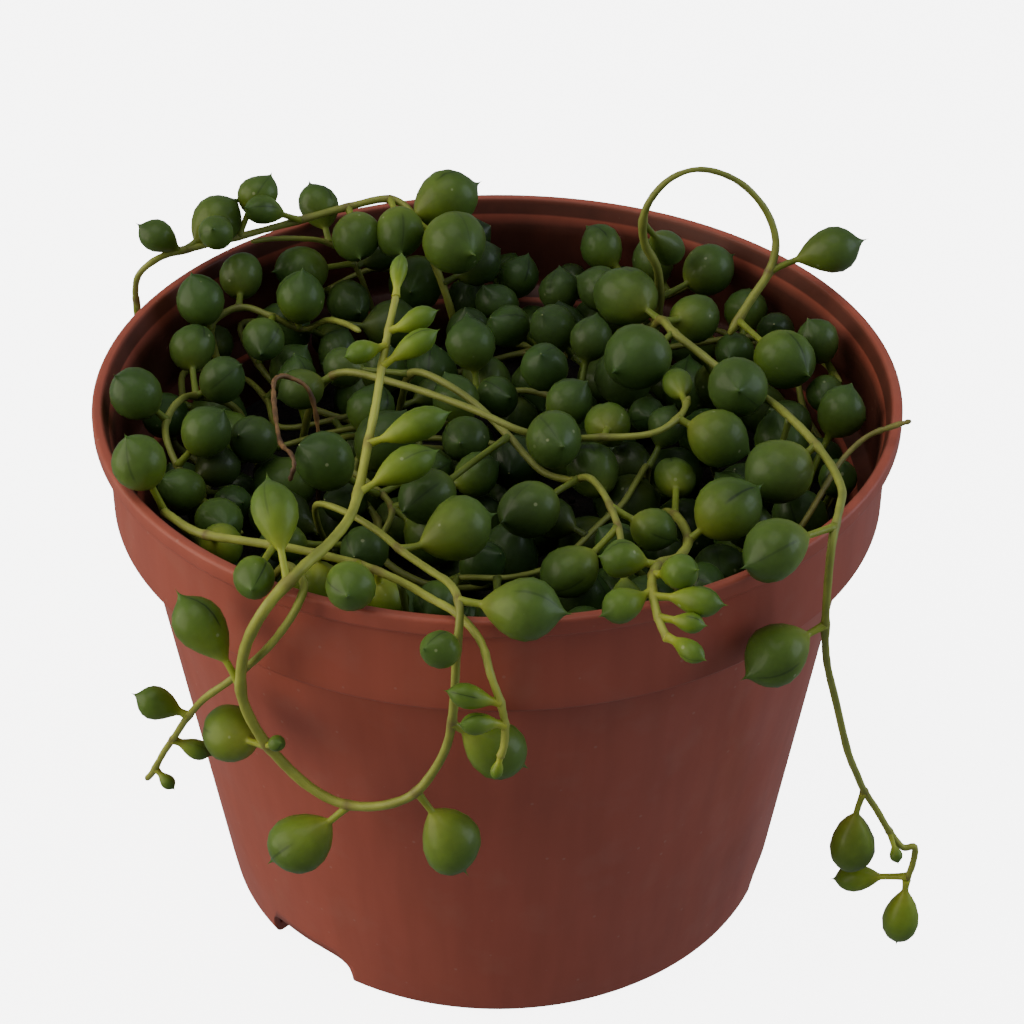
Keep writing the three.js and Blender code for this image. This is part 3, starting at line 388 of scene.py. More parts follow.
def add_leaf(leaf, strand):
    """A leaf's balls: its body, its point and the middle of its stalk."""
    root, centre, diameter = leaf["root"], leaf["centre"], leaf["diameter"]
    reach = distance(root, centre)
    swell = (diameter * (leaf["stretch"] - 1)) / 2
    balls.add(centre, diameter / 2, strand)
    for end in (reach + swell, reach - swell):
        balls.add(between(root, centre, end / reach), diameter * LEAF_END, strand)
    balls.add(leaf_tip(leaf), TIP_RADIUS, strand)
    balls.add(between(root, centre, 0.4), STALK_RADIUS, strand)


def add_stretch(start, end, radius, strand):
    """A stem's balls, evenly spaced between two points of its route."""
    count = math.ceil(distance(start, end) / BALL_STEP)
    for i in range(count):
        balls.add(between(start, end, i / count), radius + STEM_AIR, strand)


def curve_points(route, places):
    """Points of the smooth curve through a route, at places counted in points of the route.

    Between points 1 and 2 it is the cubic that leaves each with half the step between its
    neighbours; beyond an end the route goes on by its last step.
    """
    padded = np.vstack([2 * route[0] - route[1], route, 2 * route[-1] - route[-2]])
    places = np.asarray(places, float)
    first = np.clip(np.floor(places).astype(int), 0, len(route) - 2)
    t = (places - first)[:, None]
    p0, p1, p2, p3 = (padded[first + i] for i in range(4))
    m1, m2 = 0.5 * (p2 - p0), 0.5 * (p3 - p1)
    return p1 + m1 * t + (3 * (p2 - p1) - 2 * m1 - m2) * t ** 2 + (2 * (p1 - p2) + m1 + m2) * t ** 3


def lay_placed_strand(facts, strand):
    """A listed strand, with its leaves on the smooth curve through its route."""
    route = np.array(facts["route"], float)
    middles = curve_points(route, np.arange(1, len(route)) - 0.5)
    for i, middle in enumerate(middles):
        add_stretch(route[i], middle, facts["radius"], strand)
        add_stretch(middle, route[i + 1], facts["radius"], strand)
    leaves = []
    for place, x, y, z, diameter, stretch in facts["leaves"]:
        root = curve_points(route, [place])[0]
        leaves.append({"root": root, "centre": np.array([x, y, z], float), "diameter": diameter,
                       "stretch": stretch, "place": place})
        add_leaf(leaves[-1], strand)
    return {**PLAIN_STRAND, **facts, "number": strand, "route": route, "leaves": leaves}


def next_point(start, heading, level, strand, draw):
    """The next point of a creeping stem: of several clear ones, the one that best keeps the
    stem's course and level and has the most room round it."""
    best = None
    for _ in range(ROUTE_TRIES):
        turn = (draw() - 0.5) * TURN_RANGE
        rise = (draw() - 0.5) * RISE_RANGE
        course = heading + turn
        end = start + np.array([FILL_STEP * math.cos(course), FILL_STEP * math.sin(course), rise])
        points = [between(start, end, share) for share in (0.25, 0.5, 0.75, 1)]
        if not all(in_pot(point, FILL_RADIUS + 0.3) and balls.clear(point, FILL_RADIUS + STEM_AIR, strand)
                   for point in points):
            continue
        room = min(balls.room(np.array([end[0], end[1], level + ROOM_ABOVE])), ROOM_WANTED)
        cost = COST_TURN * abs(turn) + COST_LEVEL * abs(end[2] - level) + COST_ROOM * room
        if best is None or cost < best[2]:
            best = (end, course, cost)
    return best


def find_leaf(root, strand, draw):
    """The largest leaf that finds room round a point of a stem, as high as it can stand."""
    for diameter in LEAF_DIAMETERS:
        best = None
        for _ in range(LEAF_TRIES):
            bearing = draw() * 2 * math.pi
            lift = math.sin((draw() - 0.3) * 2)
            flat = math.sqrt(1 - lift * lift)
            reach = diameter / 2 + STALK_LENGTH + draw() * STALK_SPREAD
            centre = root + reach * np.array([flat * math.cos(bearing), flat * math.sin(bearing), lift])
            leaf = {"root": root, "centre": centre, "diameter": diameter, "stretch": LEAF_STRETCH}
            if (centre[2] < crest(centre) and (best is None or centre[2] > best["centre"][2])
                    and in_pot(centre, diameter / 2) and in_pot(leaf_tip(leaf), TIP_RADIUS)
                    and balls.clear(centre, diameter / 2 + SKIN) and balls.clear(leaf_tip(leaf), TIP_ROOM)
                    and balls.clear(between(root, centre, 0.45), STALK_RADIUS, strand)):
                best = leaf
        if best is not None:
            return best
    return None


def find_foot(draw):
    """Where a creeping stem comes up: of several spots on the soil, the one with most room."""
    best, most = None, -math.inf
    for _ in range(FOOT_TRIES):
        ring = FILL_SPREAD * math.sqrt(draw())
        angle = draw() * 2 * math.pi
        spot = np.array([ring * math.cos(angle), ring * math.sin(angle), SOIL_TOP + FOOT_RISE])
        room = min(balls.room(spot), balls.room(np.array([spot[0], spot[1], SOIL_TOP + FOOT_ROOM])))
        if room > most:
            best, most = spot, room
    return best


def grow_strand(index, strand, draw):
    """A creeping stem of the mat: up out of the soil, then on in short steps."""
    level = FILL_LEVELS[index % len(FILL_LEVELS)]
    foot = find_foot(draw)
    route = [np.array([foot[0], foot[1], SOIL_TOP - ROOT_DEPTH]), foot]
    add_stretch(route[0], route[1], FILL_RADIUS, strand)
    heading = draw() * 2 * math.pi
    for _ in range(FILL_NODES):
        step = next_point(route[-1], heading, level, strand, draw)
        if step is None:
            break
        add_stretch(route[-1], step[0], FILL_RADIUS, strand)
        route.append(step[0])
        heading = step[1]
    balls.add(route[-1], FILL_RADIUS + STEM_AIR, strand)
    return {**PLAIN_STRAND, "name": f"strand_{index + 1:02d}", "number": strand, "radius": FILL_RADIUS,
            "route": np.array(route), "leaves": [], "youth": GROWN_YOUTH, "grown": True}


def add_drawn_leaves(strand, draw):
    """Leaves by draw on a grown stem, one at each point of its route where there is room."""
    for place, root in enumerate(strand["route"][1:], 1):
        leaf = find_leaf(root, strand["number"], draw)
        if leaf is not None:
            add_leaf(leaf, strand["number"])
            strand["leaves"].append({**leaf, "place": place})


def seat_pearl(facts, owner):
    """Keeps a place for a pearl of the mat: in from the wall, and of the spots close to where it
    is wanted, the one that leaves it largest. None if it has no room."""
    x, y, z, wanted = facts
    limit = inside_radius(z - wanted / 2) - WALL_GAP - SKIN - PEARL_NUDGE - wanted / 2
    share = min(1, limit / math.sqrt(x * x + y * y))
    spots = []
    for dx, dy, dz in itertools.product([-PEARL_NUDGE, 0, PEARL_NUDGE], repeat=3):
        centre = np.array([x * share + dx, y * share + dy, z + dz])
        diameter = min(wanted, 2 * (balls.room(centre) - GAP - SKIN))
        worth = diameter - NUDGE_COST * (abs(dx) + abs(dy) + abs(dz))
        spots.append({"centre": centre, "diameter": diameter, "worth": worth, "owner": owner})
    best = max(spots, key=lambda spot: spot["worth"])
    if best["diameter"] < PEARL_LEAST:
        return None
    balls.add(best["centre"], best["diameter"] / 2, owner)
    return best


def hang_pearl(pearl, hosts):
    """Hangs a pearl on the nearest of the strands that a clear stalk can reach, and says
    whether there is one."""
    centre, diameter, owner = pearl["centre"], pearl["diameter"], pearl["owner"]
    best = None
    for host in hosts:
        route = host["route"]
        middles = [between(route[i], route[i + 1], 0.5) for i in range(1, len(route) - 1)]
        places = [*range(1, len(route)), *(i + 0.5 for i in range(1, len(route) - 1))]
        for place, root in zip(places, [*route[1:], *middles]):
            reach = distance(root, centre)
            if reach < diameter / 2 + PEARL_SWELL or reach > (PEARL_REACH if best is None else best[0]):
                continue
            leaf = {"root": root, "centre": centre, "diameter": diameter, "stretch": LEAF_STRETCH,
                    "place": place}
            stalk = reach - diameter / 2
            along = [between(root, centre, (share * stalk) / reach) for share in (0.3, 0.65, 1)]
            tip = leaf_tip(leaf)
            if (all(balls.clear(point, STALK_RADIUS, host["number"], owner) for point in along)
                    and in_pot(tip, TIP_RADIUS) and balls.clear(tip, TIP_ROOM, owner)):
                best = (reach, leaf, host)
    if best is None:
        return False
    add_leaf(best[1], best[2]["number"])
    best[2]["leaves"].append(best[1])
    return True


def lay_plant():
    """Every strand that the solids have, the placed ones first."""
    draw = make_draw(FILL_SEED)
    strands = [lay_placed_strand(facts, i) for i, facts in enumerate(PLACED_STRANDS)]
    pearls = [seat_pearl(facts, FIRST_PEARL + i) for i, facts in enumerate(PEARLS)]
    for i in range(FILL_STRANDS):
        strands.append(grow_strand(i, len(strands), draw))
    grown = [strand for strand in strands if strand["grown"]]
    placed = [strand for strand in strands if not strand["grown"] and strand["leaves"]]
    for pearl in pearls:
        if pearl is not None and not hang_pearl(pearl, grown):
            hang_pearl(pearl, placed)
    for strand in grown:
        add_drawn_leaves(strand, draw)
    return strands


def free_unhung_pearls(strands):
    """Gives back the room of the pearls that no stalk could reach."""
    hung = {tuple(leaf["centre"]) for strand in strands for leaf in strand["leaves"]}
    for i in range(balls.count):
        if balls.owners[i] >= FIRST_PEARL and tuple(balls.centres[i]) not in hung:
            balls.radii[i] = 0


# ---- Shapes

def unit(vectors):
    return vectors / np.linalg.norm(vectors, axis=-1, keepdims=True)


def fade(value, start, width):
    """0 up to start, 1 from start + width on, and even between; a negative width falls."""
    return np.clip((value - start) / width, 0, 1)


def bearings(sides):
    """Even steps once round, in radians."""
    return np.linspace(0, 2 * math.pi, sides, endpoint=False)


def ways(sides, lifts):
    """Directions all round a point: the south pole, a ring at each lift, and the north pole."""
    theta, lift = bearings(sides)[None, :], lifts[:, None]
    flat = np.cos(lift)
    rings = np.stack([flat * np.cos(theta), flat * np.sin(theta), np.sin(lift) + 0 * theta], -1)
    return np.vstack([[[0, 0, -1]], rings.reshape(-1, 3), [[0, 0, 1]]])


def shell_faces(rings, sides, copies=1):
    """Faces of closed shells whose points run: start pole, rings of points, end pole."""
    row = 1 + sides * np.arange(rings - 1)[:, None]
    here, there = np.arange(sides)[None, :], (np.arange(sides)[None, :] + 1) % sides
    quads = np.stack([row + here, row + there, row + sides + there, row + sides + here], -1)
    last = 1 + sides * (rings - 1)
    start = np.stack([np.zeros_like(here), 1 + there, 1 + here], -1)
    end = np.stack([np.full_like(here, last + sides), last + here, last + there], -1)
    ends = np.concatenate([start.reshape(-1, 3), end.reshape(-1, 3)])
    step = (2 + rings * sides) * np.arange(copies)[:, None, None]
    return (quads.reshape(-1, 4)[None] + step).reshape(-1, 4), (ends[None] + step).reshape(-1, 3)


def turned_shell(profile, sides):
    """A closed profile of (radius, height) rows, its first and last on the axis, turned about Z."""
    angle = bearings(sides)
    radius, height = profile[1:-1, :1], profile[1:-1, 1:]
    rings = np.stack([radius * np.cos(angle), radius * np.sin(angle), height + 0 * angle], -1)
    points = np.vstack([[[0, 0, profile[0, 1]]], rings.reshape(-1, 3), [[0, 0, profile[-1, 1]]]])
    return (points, *shell_faces(len(profile) - 2, sides))


def tube_shell(path, radii, sides):
    """A round stem: rings of path + radius * (cos a * side + sin a * up), closed at both ends.

    side and up are a fixed pair of axes, turned with the third onto the path's direction by
    the smallest turn, so the rings don't twist.
    """
    tangent = unit(np.gradient(path, axis=0))
    axes = np.vstack([np.eye(3), -np.eye(3)])
    pick = int((tangent @ axes.T).min(axis=0).argmax())
    axis, side = axes[pick], axes[(pick + 1) % 3]
    turn = [w - (tangent @ w)[:, None] / (1 + tangent @ axis)[:, None] * (axis + tangent)
            for w in (side, np.cross(axis, side))]
    angle = bearings(sides)[None, :, None]
    ring = np.cos(angle) * turn[0][:, None, :] + np.sin(angle) * turn[1][:, None, :]
    rings = path[:, None, :] + radii[:, None, None] * ring
    points = np.vstack([path[:1], rings.reshape(-1, 3), path[-1:] + tangent[-1:] * radii[-1] * 0.5])
    return (points, *shell_faces(len(path), sides))


def make_piece(name, parts, materials, replaced=()):
    """One mesh on the body root, from parts of (points, quads, triangles, material, tones)."""
    all_points, all_quads, all_tris, kinds, all_tones = zip(*parts)
    starts = np.cumsum([0, *(len(points) for points in all_points[:-1])])
    points = np.vstack(all_points)
    quads = np.vstack([faces + start for faces, start in zip(all_quads, starts)])
    tris = np.vstack([faces + start for faces, start in zip(all_tris, starts)])
    material_of_face = np.concatenate([np.full(len(faces), kind) for group in (all_quads, all_tris)
                                       for faces, kind in zip(group, kinds)])
    mesh = bpy.data.meshes.new(name)
    mesh.vertices.add(len(points))
    mesh.vertices.foreach_set("co", (points * MM).astype(np.float32).ravel())
    corners = np.concatenate([quads.ravel(), tris.ravel()]).astype(np.int32)
    mesh.loops.add(len(corners))
    mesh.loops.foreach_set("vertex_index", corners)
    sizes = np.concatenate([np.full(len(quads), 4), np.full(len(tris), 3)])
    mesh.polygons.add(len(sizes))
    mesh.polygons.foreach_set("loop_start", (np.cumsum(sizes) - sizes).astype(np.int32))
    mesh.update(calc_edges=True)
    for material in materials:
        mesh.materials.append(material)
    mesh.polygons.foreach_set("material_index", material_of_face.astype(np.int32))
    mesh.polygons.foreach_set("use_smooth", np.ones(len(sizes), bool))
    tone = mesh.attributes.new("tone", "FLOAT_COLOR", "POINT")
    tone.data.foreach_set("color", np.vstack(all_tones).astype(np.float32).ravel())
    mesh.validate()
    piece = bpy.data.objects.new(name, mesh)
    bpy.context.scene.collection.objects.link(piece)
    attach(piece, "root")
    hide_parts(*replaced)
    return piece


# ---- Finishes

class Finish:
    """A node material: nodes are added by kind, and sockets linked or set by name."""

    def __init__(self, name):
        self.material = bpy.data.materials.new(name)
        self.material.use_nodes = True
        self.tree = self.material.node_tree
        self.skin = self.tree.nodes["Principled BSDF"]

    def node(self, kind, inputs=(), **settings):
        new = self.tree.nodes.new("ShaderNode" + kind)
        for key, value in settings.items():
            setattr(new, key, value)
        for key, value in dict(inputs).items():
            self.feed(new.inputs[key], value)
        return new

    def feed(self, socket, value):
        """Links a socket or sets it, a colour as three numbers."""
        if isinstance(value, bpy.types.NodeSocket):
            self.tree.links.new(value, socket)
        else:
            socket.default_value = (*value, 1) if socket.type == "RGBA" else value

    def set(self, **values):
        """Feeds the shader's own sockets, their names written with underscores."""
        for key, value in values.items():
            self.feed(self.skin.inputs[key.replace("_", " ")], value)

    def place(self, scale=(1, 1, 1)):
        """The place on the piece, stretched by scale."""
        seat = self.node("TexCoord").outputs["Object"]
        return self.node("Mapping", {"Vector": seat, "Scale": scale}).outputs["Vector"]

    def noise(self, scale, detail=3.0, stretch=(1, 1, 1)):
        facts = {"Vector": self.place(stretch), "Scale": scale, "Detail": detail}
        return self.node("TexNoise", facts).outputs["Fac"]

    def span(self, value, low, high, to_low=0.0, to_high=1.0):
        """value from low..high to to_low..to_high, held at the ends."""
        return self.node("MapRange", {"Value": value, "From Min": low, "From Max": high,
                                      "To Min": to_low, "To Max": to_high}).outputs["Result"]

    def patchy(self, low, high, scale, detail=3.0):
        """A value that drifts between low and high from patch to patch."""
        return self.span(self.noise(scale, detail), 0.3, 0.7, low, high)

    def math(self, kind, a, b):
        return self.node("Math", {0: a, 1: b}, operation=kind).outputs[0]

    def times(self, first, *others):
        for other in others:
            first = self.math("MULTIPLY", first, other)
        return first

    def ramp(self, value, *stops):
        """A colour scale: stops of (place, colour)."""
        scale = self.node("ValToRGB", {"Fac": value})
        marks = scale.color_ramp.elements
        while len(marks) < len(stops):
            marks.new(0.5)
        for mark, (spot, colour) in zip(marks, stops):
            mark.position, mark.color = spot, (*colour, 1)
        return scale.outputs["Color"]

    def mix(self, share, a, b, blend="MIX"):
        facts = {"Factor": share, "A": a, "B": b}
        return self.node("Mix", facts, data_type="RGBA", blend_type=blend).outputs["Result"]

    def dim(self, colour, amount):
        """A colour multiplied by a grey amount."""
        grey = self.node("CombineColor", {"Red": amount, "Green": amount, "Blue": amount})
        return self.mix(1.0, colour, grey.outputs["Color"], "MULTIPLY")

    def cells(self, scale):
        """A cell pattern: Distance from a cell's middle, and Color, drawn for each cell."""
        return self.node("TexVoronoi", {"Vector": self.place(), "Scale": scale}).outputs

    def parts(self, colour):
        """A colour as its Red, Green and Blue."""
        return self.node("SeparateColor", {"Color": colour}).outputs

    def bump(self, height, strength, distance):
        facts = {"Height": height, "Strength": strength, "Distance": distance}
        self.set(Normal=self.node("Bump", facts).outputs["Normal"])

    def tones(self):
        """The four numbers that each point of a piece carries."""
        tone = self.node("Attribute", attribute_name="tone").outputs
        parts = self.parts(tone["Color"])
        return parts["Red"], parts["Green"], parts["Blue"], tone["Alpha"]


def make_pearl_skin(name, light):
    """Waxy leaf: yellow-green at its stalk to deep green at its point, brighter when young, with
    the thin dark slit over one side, faint mottling, pale specks and a pale dry point.
    The whole is scaled by the second value, a painted shade below 1. Its points carry the leaf's
    youth, the share of its length, the turn away from the slit and a number of the leaf's own."""
    f = Finish(name)
    youth, share, turn, own = f.tones()
    grown = f.ramp(share, (0.0, (0.105, 0.155, 0.025)), (0.13, (0.052, 0.100, 0.018)),
                   (0.5, (0.038, 0.082, 0.016)), (1.0, (0.026, 0.062, 0.016)))
    young = f.ramp(share, (0.0, (0.330, 0.380, 0.040)), (0.25, (0.190, 0.270, 0.024)),
                   (0.6, (0.112, 0.190, 0.020)), (1.0, (0.084, 0.160, 0.022)))
    dull = f.mix(f.span(own, 0.3, 1.0, 0.0, 0.5), grown, (0.036, 0.060, 0.017))
    colour = f.mix(youth, dull, young)
    # the second value scales the mottling and so the whole colour; below 1 it is a painted shade
    mottle = f.times(f.patchy(0.82 * light, 1.16 * light, 210), f.patchy(0.94, 1.06, 900, 2))
    colour = f.dim(colour, mottle)
    line, pane = f.span(turn, 0.008, 0.026, 1.0, 0.0), f.span(turn, 0.03, 0.14, 0.30, 0.0)
    reach = f.times(f.span(share, 0.40, 0.52), f.span(share, 0.93, 1.0, 1.0, 0.0))
    slit = f.times(f.math("MAXIMUM", line, pane), reach, f.span(own, 0.0, 1.0, 0.85, 0.30))
    colour = f.mix(slit, colour, (0.010, 0.022, 0.006))
    cells = f.cells(620.0)
    rare = f.span(f.parts(cells["Color"])["Red"], 0.90, 0.92)
    speck = f.times(f.span(cells["Distance"], 0.10, 0.17, 0.40, 0.0), rare)
    colour = f.mix(speck, colour, (0.36, 0.40, 0.22))
    colour = f.mix(f.span(share, 1.04, 1.10, 0.0, 0.80), colour, (0.40, 0.42, 0.20))
    f.set(Base_Color=colour, Roughness=f.patchy(0.42, 0.54, 320), Coat_Weight=0.14, Coat_Roughness=0.16,
          Subsurface_Weight=0.15, Subsurface_Radius=(0.6, 1.0, 0.15), Subsurface_Scale=0.0016,
          Specular_IOR_Level=0.16)
    f.bump(f.noise(1400, 3), 0.10, 0.0002)
    return f.material


def make_stem_skin():
    """Stems: yellow-green with darker stripes along them, brownish at the nodes; dry ones brown.
    Their points carry the stem's youth, the ridge, the nearness to a leaf and how dry it is."""
    f = Finish("stem_skin")
    youth, ridge, node, dry = f.tones()
    colour = f.mix(youth, (0.155, 0.185, 0.036), (0.320, 0.360, 0.052))
    colour = f.dim(colour, f.times(f.span(ridge, 0.0, 1.0, 0.82, 1.10), f.patchy(0.80, 1.14, 300, 4)))
    stain = f.times(node, f.span(f.noise(120), 0.45, 0.62, 0.1, 0.75))
    colour = f.mix(stain, colour, (0.105, 0.060, 0.026))
    bark = f.ramp(f.noise(420, 4), (0.35, (0.060, 0.030, 0.013)), (0.65, (0.220, 0.125, 0.050)))
    f.set(Base_Color=f.mix(dry, colour, bark), Roughness=f.patchy(0.44, 0.60, 500), Subsurface_Weight=0.10,
          Subsurface_Radius=(0.6, 1.0, 0.15), Subsurface_Scale=0.001, Specular_IOR_Level=0.36)
    f.bump(f.noise(1100, 4), 0.22, 0.0003)
    return f.material


def wall_depth(f, height):
    """How far in from the pot's outside a place is, in metres: the outside radius at its height,
    with the steps to the collar and the lip, less the place's own radius."""
    own_radius = f.node("VectorMath", {0: f.place((1, 1, 0))}, operation="LENGTH").outputs["Value"]
    shoulder, lip, step = SHOULDER_HEIGHT * MM, LIP_BOTTOM * MM, (COLLAR_RADIUS - SHOULDER_RADIUS) * MM
    body = f.span(height, 0.0, shoulder, BASE_RADIUS * MM, SHOULDER_RADIUS * MM)
    collar = f.span(height, shoulder - 0.0001, shoulder + 0.0001, 0.0, step)
    outside = f.math("ADD", f.math("ADD", body, collar), f.span(height, lip, lip + 0.0005, 0.0, 0.0009))
    return f.math("SUBTRACT", outside, own_radius)


def make_pot_plastic():
    """Thin terracotta-coloured plastic: a little cloudy, with fine upright flow marks, dust and
    scuffs. Inside it is darkened by a painted shade, most towards the soil."""
    f = Finish("pot_plastic")
    colour = f.ramp(f.noise(26, 4), (0.3, (0.294, 0.071, 0.045)), (0.7, (0.312, 0.077, 0.049)))
    colour = f.dim(colour, f.span(f.noise(420, 2, (1, 1, 0.02)), 0.35, 0.65, 0.96, 1.04))
    colour = f.mix(f.span(f.noise(160, 6), 0.55, 0.75, 0.0, 0.10), colour, (0.34, 0.20, 0.15))
    height = f.node("SeparateXYZ", {0: f.place()}).outputs["Z"]
    inside = f.span(wall_depth(f, height), 0.0003, WALL * MM - 0.0001)
    # Painted shade inside the pot: the inner wall is mixed towards near black, most close to the soil, less
    # at the rim, patchy, and none below 6 mm.
    painted_shade_by_height = f.times(f.span(height, SOIL_TOP * MM, POT_HEIGHT * MM, 0.92, 0.84), f.span(height, 0.006, 0.008))
    stain = f.times(inside, painted_shade_by_height, f.span(f.noise(120, 5), 0.3, 0.6, 0.85, 1.0))
    colour = f.mix(stain, colour, (0.030, 0.012, 0.008))
    colour = f.mix(f.span(f.cells(330.0)["Distance"], 0.05, 0.09, 0.22, 0.0), colour, (0.40, 0.25, 0.19))
    f.set(Base_Color=colour, Roughness=f.patchy(0.42, 0.56, 90, 5), Specular_IOR_Level=0.28)
    f.bump(f.noise(700, 3), 0.06, 0.0002)
    return f.material


def make_soil_earth():
    """Damp peat: near black, with brown fibres."""
    f = Finish("soil_earth")
    colour = f.ramp(f.noise(420, 6), (0.35, (0.004, 0.003, 0.003)), (0.6, (0.012, 0.008, 0.006)),
                    (0.8, (0.035, 0.022, 0.014)))
    f.set(Base_Color=colour, Roughness=0.95)
    f.bump(f.noise(900, 5), 0.7, 0.0008)
    return f.material


# ---- Stems and leaves

# Body rings of a leaf: degrees from its girdle, back to its stalk and on to its point.
FINE_RINGS = [-84, -74, -62, -48, -33, -16, 2, 20, 37, 52, 64, 74, 81, 85.5, 88.5]
MAT_RINGS = [-78, -60, -40, -18, 6, 28, 48, 64, 76, 84]
DEEP_RINGS = [-60, -28, 6, 38, 64, 81]
STALK_RINGS = [0.02, 0.2, 0.45, 0.7, 0.9]  # shares of the stalk
FINE_STALK = 0.42
FINE_STEM = 0.90  # a fine stem's radius, as a share of its solid's
STEM_TAPER = 0.75  # its radius at the tip, as a share of that at its foot
STEM_STEPS = 6  # rings of a stem for each point of its route
FINE_MUCRO = 0.085  # length of a fine leaf's point, as a share of its diameter
ROUND_STRETCH = 1.06  # a leaf is round up to this length over diameter,
DRAWN_RANGE = 0.28  # and fully drawn out this much on
GROOVE_DEPTH = 0.05
GROOVE_WIDTH = 0.16  # radians
YOUTH_POWER = 1.5  # strands stay old for most of their length
STEM_SEED = 500
LEAF_SEED = 100
DEEP_LEAF_SEED = 77


def leaf_profile(reach, radius, stretch, degrees, blunt):
    """How far along a leaf its rings stand, their radii, and their shares of the body's length.

    At s along a leaf its radius is the cube root of neck^3 + body^3. The neck flares towards the
    stem. The body is R cos(p)^k at s = reach + half sin(p) + shift cos(p)^2, where k and shift
    grow from a round leaf to a drawn-out one, and past the girdle k grows by blunt too. Close
    to the end s goes on a little further, which draws the body out into a fine tip.
    """
    half = radius * stretch
    drawn = fade(stretch, ROUND_STRETCH, DRAWN_RANGE)
    phi = np.radians(np.array(degrees))[None, :]
    stalk = np.array(STALK_RINGS)[None, :]
    s = np.hstack([stalk * np.maximum(reach - half, 0.4),
                   reach + half * (np.sin(phi) + 0.20 * drawn * np.cos(phi) ** 2)])
    share = (s - (reach - half)) / (2 * half)
    power = np.where(phi < 0, 1.06 + 0.80 * drawn, 1.24 + 0.38 * drawn + blunt)
    body = np.hstack([np.zeros((len(s), stalk.size)), radius * np.cos(phi) ** power])
    thick = np.minimum(FINE_STALK, 0.25 * radius + 0.1)
    neck = thick * (1 + 0.5 * np.exp(-s / 0.8)) * fade(s, reach + 0.4 * half, -half) ** 0.5
    past = np.hstack([np.full((1, stalk.size), -math.pi), phi])
    s = s + fade(past, 1.38, 0.19) ** 1.5 * radius * 2 * FINE_MUCRO * 0.9
    s = s + fade(past, 0.95, 0.62) ** 2 * radius * (0.05 + 0.24 * drawn)
    return s, (neck ** 3 + body ** 3) ** (1 / 3), share


def leaf_shells(leaves, degrees, sides, crowd, seed):
    """Leaves, each a slim stalk that swells into a ball or a drop with a fine point.

    The rings of leaf_profile stand round a slightly bent and leaning axis, with two low waves
    round each. A groove runs from the point back over one side, as 1 - depth exp(-(a / width)^2).
    The sides stand closer together there: a = b - crowd sin(b) for even steps of b.
    """
    rng = np.random.default_rng(seed)
    count = len(leaves)
    root, centre = (np.array([leaf[key] for leaf in leaves]) for key in ("root", "centre"))
    diameter, stretch, youth = (np.array([leaf[key] for leaf in leaves])[:, None]
                                for key in ("diameter", "stretch", "youth"))
    radius = diameter / 2
    reach = np.linalg.norm(centre - root, axis=1)[:, None]
    along = unit(centre - root)
    hint = np.array([0, 0, 0.8]) + 0.7 * rng.normal(size=(count, 3))
    side = unit(hint - (hint * along).sum(1)[:, None] * along)
    up = np.cross(along, side)
    blunt = rng.uniform(-0.08, 0.24, (count, 1))
    s, ring_radius, share = leaf_profile(reach, radius, stretch, degrees, blunt)
    b = bearings(sides)
    a = (b - crowd * np.sin(b))[None, None, :]
    turn = np.minimum(a, 2 * math.pi - a)
    grooved = fade(share, 0.34, 0.2) * fade(share, 1.0, -0.08)
    depth = GROOVE_DEPTH * rng.uniform(0.1, 1.1, (count, 1)) * grooved
    wave = rng.uniform(0, 2 * math.pi, (count, 3))
    uneven = (1 + 0.016 * np.cos(2 * a + wave[:, :1, None])
              + 0.010 * np.cos(3 * a + wave[:, 1:2, None] + 5 * share[:, :, None]))
    groove = depth[:, :, None] * np.exp(-(turn / GROOVE_WIDTH) ** 2)
    ring = ring_radius[:, :, None] * (1 - groove) * uneven
    bend = np.sin(math.pi * np.clip(s / reach, 0, 1)) * rng.uniform(-0.06, 0.06, (count, 1)) * reach
    lean = rng.uniform(-0.34, 0.34, (count, 1)) * radius * np.clip(share, 0, 1.1) ** 2.5
    axis = (root[:, None] + along[:, None] * s[:, :, None] + bend[:, :, None] * side[:, None]
            + lean[:, :, None] * up[:, None])
    spoke = (np.cos(a)[..., None] * side[:, None, None] + np.sin(a)[..., None] * up[:, None, None])
    points = axis[:, :, None] + ring[..., None] * spoke
    tip = axis[:, -1:] + along[:, None] * (radius * 2 * FINE_MUCRO * 0.3)[:, :, None]
    points = np.concatenate([root[:, None], points.reshape(count, -1, 3), tip], axis=1)
    own = rng.uniform(0, 1, (count, 1))
    tone = np.stack(np.broadcast_arrays(youth[:, :, None], share[:, :, None], turn / math.pi,
                                        own[:, :, None]), -1)
    ends = [np.stack(np.broadcast_arrays(youth, end, 1.0, own), -1) for end in (-0.5, 1.1)]
    tone = np.concatenate([ends[0], tone.reshape(count, -1, 4), ends[1]], axis=1)
    return (points.reshape(-1, 3), *shell_faces(s.shape[1], sides, count), 0, tone.reshape(-1, 4))


